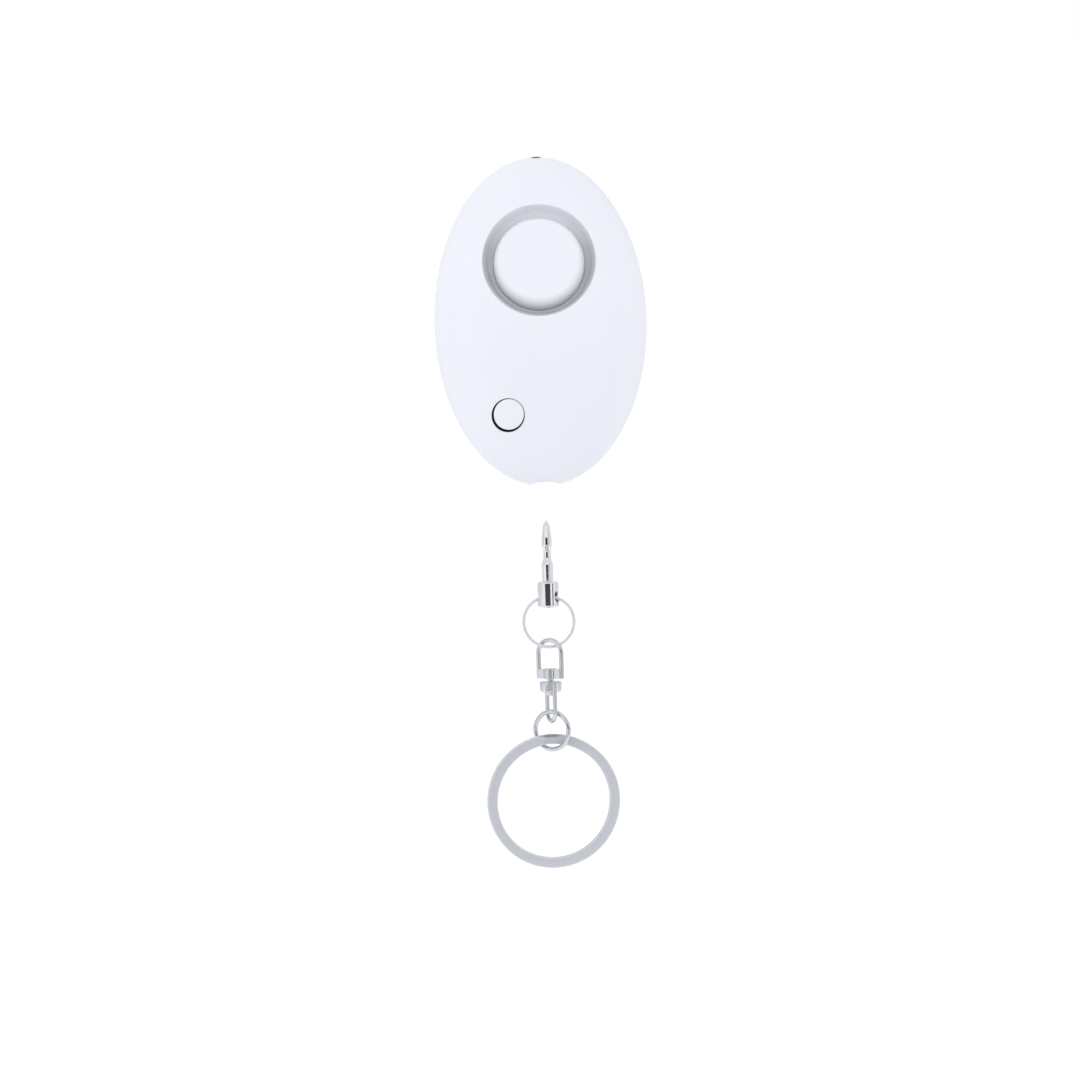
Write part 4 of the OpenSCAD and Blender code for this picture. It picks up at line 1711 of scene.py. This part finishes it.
@dataclass
class Swivel(SubAssembly):
    """Swivel of the chain: a shackle with its drum, a rivet, and a loop under a cap, in millimetres."""

    turn: float = -30.0
    half: float = 2.46
    wire: float = 0.44
    crown: float = -60.15
    drum: Plan = (-65.55, -67.45)
    drum_r: float = 1.3
    web: float = 1.2
    bore: float = 0.62
    sink: Plan = (1.05, 0.45)
    rivet_r: float = 0.55
    rivet_heads: tuple[Plan, ...] = ((0.95, -65.57), (0.95, -65.97), (1.05, -70.0), (0.7, -70.6))
    loop_turn: float = -68.0
    loop_half: float = 1.9
    loop_wire: float = 0.42
    cap: Plan = (-67.95, -69.95)
    cap_r: Plan = (2.1, 1.95)
    loop_low: float = -75.5
    sides: int = 64
    tool_sides: int = 54
    bend_steps: int = 40
    leg_steps: int = 8
    bow_lift: float = 0.05
    web_inset: float = 0.3
    web_rests: Plan = (0.08, 0.07)
    leg_rest: float = 0.15
    drum_edge: float = 0.14
    rivet_edge: float = 0.1
    cap_edge: float = 0.3
    cut_over: float = 1.0

    def build(self) -> None:
        """Build, dress and seat every piece."""
        self.seat(self.shackle(), "swivel_shackle", "chrome", PLATED_CASTING, "swivel_shackle")
        self.seat(self.rivet(), "swivel_shackle", "chrome", PLATED_CASTING, "swivel_rivet")
        self.seat(self.loop(), "swivel_loop", "chrome", PLATED_CASTING, "swivel_loop")

    def bow(self, name: str, turn: float, half: float, wire: float, ends: float, bend: float) -> bpy.types.Object:
        """Bent wire with two legs that end at a height, and a half round bend at another.

        Args:
            name: Name of the piece.
            turn: Turn about Z, in degrees.
            half: Half width between the legs.
            wire: Radius of the wire.
            ends: Height of the legs' ends.
            bend: Height where the bend starts.

        Returns:
            The wire.
        """
        flat, across = plane_of(turn)
        way = 1 if bend > ends else -1
        turns = [TURN / 2 * i / self.bend_steps for i in range(self.bend_steps + 1)]
        arc = [(half * math.cos(a), bend + way * half * math.sin(a)) for a in turns]
        leg = [(half, ends + (bend - ends) * i / self.leg_steps) for i in range(self.leg_steps)]
        outline = leg + arc + [(-u, z) for u, z in reversed(leg)]
        casting = Casting()
        casting.sweep([middle(z) + flat * u for u, z in outline], across, circle(wire, WIRE_SIDES), False)
        return casting.solid(name, WIRE_CREASE)

    def turned_drum(self, name: str, outline: Sequence[Plan], edge: float) -> bpy.types.Object:
        """Round drum from an outline of radius and height, with eased edges.

        Args:
            name: Name of the piece.
            outline: Radius and height of each corner.
            edge: Radius of the eased edges.

        Returns:
            The drum.
        """
        casting = Casting()
        casting.lathe(rounded(outline, edge), turned(Axis.Z), self.sides)
        return casting.solid(name)

    def shackle(self) -> bpy.types.Object:
        """Bow on a drum that the rivet turns in.

        Returns:
            The shackle.
        """
        high, low = self.drum
        piece = self.bow("shackle_bow", self.turn, self.half, self.wire, low + self.bow_lift, self.crown - self.half)
        reach = self.half - self.web_inset * self.wire
        web = block("web", (-reach, FORM.part_y - self.web / 2, low + self.web_rests[0]),
                    (reach, FORM.part_y + self.web / 2, high - self.web_rests[1]))
        pivot = middle(0) * MM
        spin = Matrix.Rotation(math.radians(self.turn), 4, "Z")
        web.data.transform(Matrix.Translation(pivot) @ spin @ Matrix.Translation(-pivot))
        outline = ((0, low), (self.drum_r, low), (self.drum_r, high), (0, high))
        drum = self.turned_drum("drum", outline, self.drum_edge)
        combine(piece, Cut.JOIN, [web, drum])
        wide, seat = self.sink[0], high - self.sink[1]
        under, over = low - self.cut_over, high + self.cut_over
        casting = Casting()
        casting.lathe(((0, under), (self.bore, under), (self.bore, seat), (wide, seat), (wide, over), (0, over)),
                      turned(Axis.Z), self.tool_sides)
        combine(piece, Cut.TAKE, [casting.solid("bore")])
        return piece

    def rivet(self) -> bpy.types.Object:
        """Rivet with a head over the drum and one under the cap.

        Returns:
            The rivet.
        """
        top, under, over, end = self.rivet_heads
        outline = ((0, top[1]), top, under, (self.rivet_r, under[1]), (self.rivet_r, over[1]), over, end, (0, end[1]))
        return self.turned_drum("swivel_pin", outline, self.rivet_edge)

    def loop(self) -> bpy.types.Object:
        """Loop whose legs run up the sides of its cap.

        Returns:
            The loop.
        """
        high, low = self.cap
        piece = self.bow("loop_bow", self.loop_turn, self.loop_half, self.loop_wire, high - self.leg_rest,
                         self.loop_low + self.loop_half)
        outline = ((0, low), (self.cap_r[1], low), (self.cap_r[0], high), (0, high))
        combine(piece, Cut.JOIN, [self.turned_drum("cap", outline, self.cap_edge)])
        combine(piece, Cut.TAKE, [bar("bore", (low - self.cut_over, high + self.cut_over), (self.bore,) * 2)])
        return piece


@dataclass
class KeyRing(SubAssembly):
    """Jump ring and split key ring, in millimetres and degrees."""

    jump_z: float = -77.25
    jump_r: float = 3.55
    jump_wire: float = 0.45
    jump_turn: float = -29.0
    seam: float = 0.07
    seam_at: float = 200.0
    ring_z: float = -90.5
    ring_y: float = -0.15
    ring_r: float = 12.595
    strip: Plan = (1.9, 0.5)
    strip_edge: float = 0.17
    ring_turn: float = 7.0
    gap: float = 0.42
    crossover: float = 36.0
    front_end: float = 94.0
    end_slant: float = 7.0
    point_span: float = 10.0
    point_depth: float = 0.75
    end_gap: float = 4.0
    slant_span: float = 3.0
    point_power: float = 1.4
    steps: int = 520

    def build(self) -> None:
        """Build, dress and seat every piece."""
        self.seat(wire_hoop("link_ring", self.jump_z, self.jump_r, self.jump_wire, self.jump_turn, self.seam,
                            self.seam_at), "jump_ring", "chrome", PLATED_CASTING, "jump_ring")
        self.seat(self.split_ring(), "split_ring", "nickel", NICKEL, "split_ring")

    def shift(self, along: float) -> float:
        """Shift of the strip from front to back at an angle along its two turns.

        Args:
            along: The angle, in degrees.

        Returns:
            The shift.
        """
        start = 360 - self.crossover - self.end_gap
        t = min(1.0, max(0.0, (along - start) / self.crossover))
        return (self.strip[1] + self.gap) * (t * t * (3 - 2 * t) - 0.5)

    def lean(self, along: float, span: float) -> float:
        """Lead of the strip's inner edge over its outer one, which slants the two cut ends."""
        near, far = (max(0.0, 1 - d / (self.slant_span * self.end_slant)) for d in (along, span - along))
        return self.end_slant * (near - far)

    def split_ring(self) -> bpy.types.Object:
        """Flat strip wound in two turns, with a crossover and slanted ends.

        Returns:
            The ring.
        """
        flat, across = plane_of(self.ring_turn)
        span = 720 - self.crossover - 2 * self.end_gap
        width, thick = self.strip
        section = rounded_bar(width, thick, self.strip_edge)
        rings = []
        for i in range(self.steps + 1):
            along = span * i / self.steps
            near = max(0.0, 1 - min(along, span - along) / self.point_span)
            point = self.point_depth * near ** self.point_power
            ring = []
            for u, v in section:
                inward = 0.5 - u / width
                a = math.radians(self.front_end + along + inward * self.lean(along, span))
                radius = self.ring_r - width / 2 + u - point * (1 - inward)
                spot = (middle(self.ring_z) + Vector((0, self.ring_y, 0)) + flat * (radius * math.cos(a))
                        + across * (self.shift(along) + v))
                ring.append(tuple(spot + Vector((0, 0, radius * math.sin(a)))))
            rings.append(ring)
        casting = Casting()
        for ends in casting.stack(rings):
            centre = sum((Vector(casting.points[i]) for i in ends), Vector()) / len(ends)
            casting.hub(ends, tuple(centre))
        return casting.solid("key_ring", WIRE_CREASE)


@dataclass
class PinSwitch(SubAssembly):
    """Leaf spring beside the pin's path, which the pin pushes aside, in millimetres."""

    foot: float = -26.3
    stand: float = 2.7
    reach: float = 0.85
    strip: Plan = (0.2, 1.2)
    strip_edge: float = 0.06
    leg: Plan = (1.43, 2.57)
    pushed: float = 0.88
    rises: tuple[float, ...] = (1.4, 2.6, 4.9, 5.6, 6.6)
    tail: float = 0.7
    ease: float = 0.35
    leg_share: float = 0.42

    def build(self) -> None:
        """Build, dress and seat the leaf, and give it a mesh of its own."""
        leaf = self.leaf()
        self.seat(leaf, "casing", "brass", BRASS, "switch_leaf")
        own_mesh(leaf)

    def leaf(self) -> bpy.types.Object:
        """Bent strip with a solder leg to the board.

        Returns:
            The leaf.
        """
        across = (self.stand, self.stand, self.reach, self.reach, self.reach + self.tail)
        bend = rounded(tuple(zip(across, self.rises)), self.ease)
        casting = Casting()
        casting.sweep([Vector((x, FORM.part_y, self.foot + up)) for x, up in bend],
                      Vector((0, 1, 0)), rounded_bar(*self.strip, self.strip_edge), False)
        piece = casting.solid("leaf_spring")
        half, end = self.leg_share * self.strip[0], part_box("switch_leaf")[1][1] / MM
        low, high = self.leg
        combine(piece, Cut.JOIN, [block("leg", (self.stand - half, FORM.part_y, self.foot + low),
                                        (self.stand + half, end, self.foot + high))])
        return piece


@dataclass
class Internals(SubAssembly):
    """Pieces inside the case that stay as the frame gives them."""

    finishes: tuple[tuple[Finish, tuple[str, ...]], ...] = (
        (BOARD, ("circuit_board",)),
        (BLACK, ("controller_chip", "drive_transistor", "resistors", "pin_socket", "battery_tray")),
        (FERRITE, ("boost_coil_core",)),
        (COPPER, ("boost_coil_winding",)),
        (SLEEVE, ("lamp_wires", "piezo_wires")),
        (BRASS, ("socket_contact",)),
        (CELL_STEEL, ("cell_a", "cell_b", "cell_c")),
        (SHEET_STEEL, ("plus_contact", "minus_contact")),
    )

    def build(self) -> None:
        """Dress every piece."""
        for finish, nodes in self.finishes:
            self.keep(finish, *nodes)


@dataclass(frozen=True)
class Card:
    """A card bent round the object, which bright metal shows.

    Its ends are angles to the right of the camera's side, in degrees. Its levels are the heights of its
    lower and upper edge, and its radii their distances from the pin's axis, in millimetres.
    """

    name: str
    ends: Plan
    levels: Plan
    tone: float
    radii: Plan = (450.0, 450.0)


@dataclass
class Studio:
    """Camera, light, floor and cards round the object, in millimetres."""

    distance: float = 330.0
    frame_width: float = 204.1
    aim: Plan = (-1.25, -41.2)
    roll: float = -1.6
    sensor: float = 36.0
    ambient: float = 1.0
    floor_z: float = -150.0
    floor_r: float = 3000.0
    floor_sides: int = 64
    floor_grain: float = 0.05
    floor_tones: Plan = (0.9, 0.93)
    floor_glow: float = 0.15
    clip: float = 0.01
    sky: Point = (0.97, 0.985, 1.03)
    card_steps: int = 24
    lamps: tuple[tuple[str, Point, float, float], ...] = (
        ("key", (-420.0, -300.0, 200.0), 320.0, 0.42),
        ("fill", (430.0, -300.0, 60.0), 320.0, 0.2),
    )
    cards: tuple[Card, ...] = (
        Card("dark_front_card", (-32.0, 25.0), (-82.0, 40.0), 0.05),
        Card("dim_front_card", (-30.0, 28.0), (-220.0, -82.0), 0.66),
        Card("dim_floor_card", (-60.0, 60.0), (-149.0, -149.0), 0.6, (190.0, 420.0)),
        Card("dark_right_card", (47.0, 59.0), (-260.0, 200.0), 0.1),
        Card("dark_left_card", (-75.0, -67.0), (-60.0, 200.0), 0.2),
        Card("grey_back_card", (80.0, 280.0), (-500.0, 500.0), 0.82),
        Card("grey_high_card", (-80.0, 80.0), (200.0, 500.0), 0.85),
    )

    def build(self) -> None:
        """Set up the whole studio."""
        self.camera()
        self.world()
        for lamp in self.lamps:
            self.lamp(*lamp)
        self.floor()
        for card in self.cards:
            self.card(card)
        bpy.context.scene.view_settings.view_transform = "Standard"

    def camera(self) -> None:
        """Camera at the photograph's viewing angle."""
        data = bpy.data.cameras.new("camera")
        data.sensor_width = self.sensor
        data.lens = self.sensor * self.distance / self.frame_width
        data.clip_start = self.clip
        camera = bpy.data.objects.new("camera", data)
        place = Vector((self.aim[0], FORM.part_y - self.distance, self.aim[1])) * MM
        camera.matrix_world = (Matrix.Translation(place) @ Matrix.Rotation(TURN / 4, 4, "X")
                               @ Matrix.Rotation(math.radians(self.roll), 4, "Z"))
        bpy.context.scene.collection.objects.link(camera)
        bpy.context.scene.camera = camera

    @staticmethod
    def seen(bench: Bench) -> Signal:
        """Tell rays of the camera, of gloss and of glass from the light on surfaces.

        Args:
            bench: Node tree of a material or of the world.

        Returns:
            1 for those rays and 0 for the light.
        """
        path = bench.node("ShaderNodeLightPath", {}, {})
        rays = [bench.out(path, name) for name in ("Is Camera Ray", "Is Glossy Ray", "Is Transmission Ray")]
        return rays[0].largest(rays[1]).largest(rays[2])

    def world(self) -> None:
        """White surroundings that light the object at a plain level."""
        world = bpy.context.scene.world or bpy.data.worlds.new("surroundings")
        bpy.context.scene.world = world
        bench = Bench(world)
        light = bench.node("ShaderNodeBackground", {}, {"Color": self.sky, "Strength": self.ambient})
        white = bench.node("ShaderNodeBackground", {}, {"Color": (1.0, 1.0, 1.0), "Strength": 1.0})
        both = bench.node("ShaderNodeMixShader", {}, {0: self.seen(bench), 1: bench.out(light, 0),
                                                      2: bench.out(white, 0)})
        bench.node("ShaderNodeOutputWorld", {}, {"Surface": bench.out(both, 0)})

    def lamp(self, name: str, spot: Point, size: float, power: float) -> None:
        """Soft square lamp that faces the object.

        Args:
            name: Name of the lamp.
            spot: Its place.
            size: Its width.
            power: Its power, in watts.
        """
        data = bpy.data.lights.new(name, "AREA")
        data.size = size * MM
        data.energy = power
        lamp = bpy.data.objects.new(name, data)
        place = Vector(spot) * MM
        target = Vector((0, FORM.part_y, self.aim[1])) * MM
        lamp.location = place
        lamp.rotation_euler = (target - place).to_track_quat("-Z", "Y").to_euler()
        lamp.visible_glossy = False
        bpy.context.scene.collection.objects.link(lamp)

    def floor(self) -> None:
        """White floor below the object, which keeps its shadow."""
        casting = Casting()
        ring = casting.loop((x * self.floor_r, y * self.floor_r, self.floor_z)
                            for x, y in circle(1.0, self.floor_sides))
        casting.hub(ring, (0, 0, self.floor_z))
        floor = casting.solid("floor")
        material = bpy.data.materials.new("white floor")
        bench = Bench(material)
        cloth = bench.noise(bench.place(), self.floor_grain, 2.0)
        tone = bench.mix(cloth, *((tone,) * 3 for tone in self.floor_tones))
        matt = bench.node("ShaderNodeBsdfDiffuse", {}, {"Color": tone})
        glow = bench.node("ShaderNodeEmission", {}, {"Color": (1.0, 1.0, 1.0), "Strength": self.floor_glow})
        none = bench.node("ShaderNodeEmission", {}, {"Strength": 0.0})
        lift = bench.node("ShaderNodeMixShader", {}, {0: self.seen(bench), 1: bench.out(none, 0),
                                                      2: bench.out(glow, 0)})
        both = bench.node("ShaderNodeAddShader", {}, {0: bench.out(matt, 0), 1: bench.out(lift, 0)})
        bench.node("ShaderNodeOutputMaterial", {}, {"Surface": bench.out(both, 0)})
        floor.data.materials.append(material)

    def card(self, card: Card) -> None:
        """Set up one card, unseen by the camera.

        Args:
            card: The card.
        """
        casting = Casting()
        steps = self.card_steps
        angles = [math.radians(card.ends[0] + (card.ends[1] - card.ends[0]) * i / steps) for i in range(steps + 1)]
        low, high = (casting.loop((radius * math.sin(a), FORM.part_y - radius * math.cos(a), z) for a in angles)
                     for z, radius in zip(card.levels, card.radii))
        casting.faces = [(low[i], low[i + 1], high[i + 1], high[i]) for i in range(steps)]
        sheet = casting.solid(card.name)
        material = bpy.data.materials.new(card.name)
        bench = Bench(material)
        tone = bench.node("ShaderNodeEmission", {}, {"Color": (card.tone,) * 3, "Strength": 1.0})
        bench.node("ShaderNodeOutputMaterial", {}, {"Surface": bench.out(tone, 0)})
        sheet.data.materials.append(material)
        sheet.visible_camera = False
        sheet.visible_diffuse = False
        sheet.visible_shadow = False
        sheet.visible_transmission = False


def main() -> None:
    """Build the studio and every sub-assembly in order."""
    logging.basicConfig(level=logging.INFO, format="%(message)s")
    Studio().build()
    for assembly in (Case(), Siren(), LightControls(), PullPin(), Swivel(), KeyRing(), PinSwitch(), Internals()):
        log.info("%s", type(assembly).__name__)
        assembly.build()


if __name__ == "__main__":
    main()
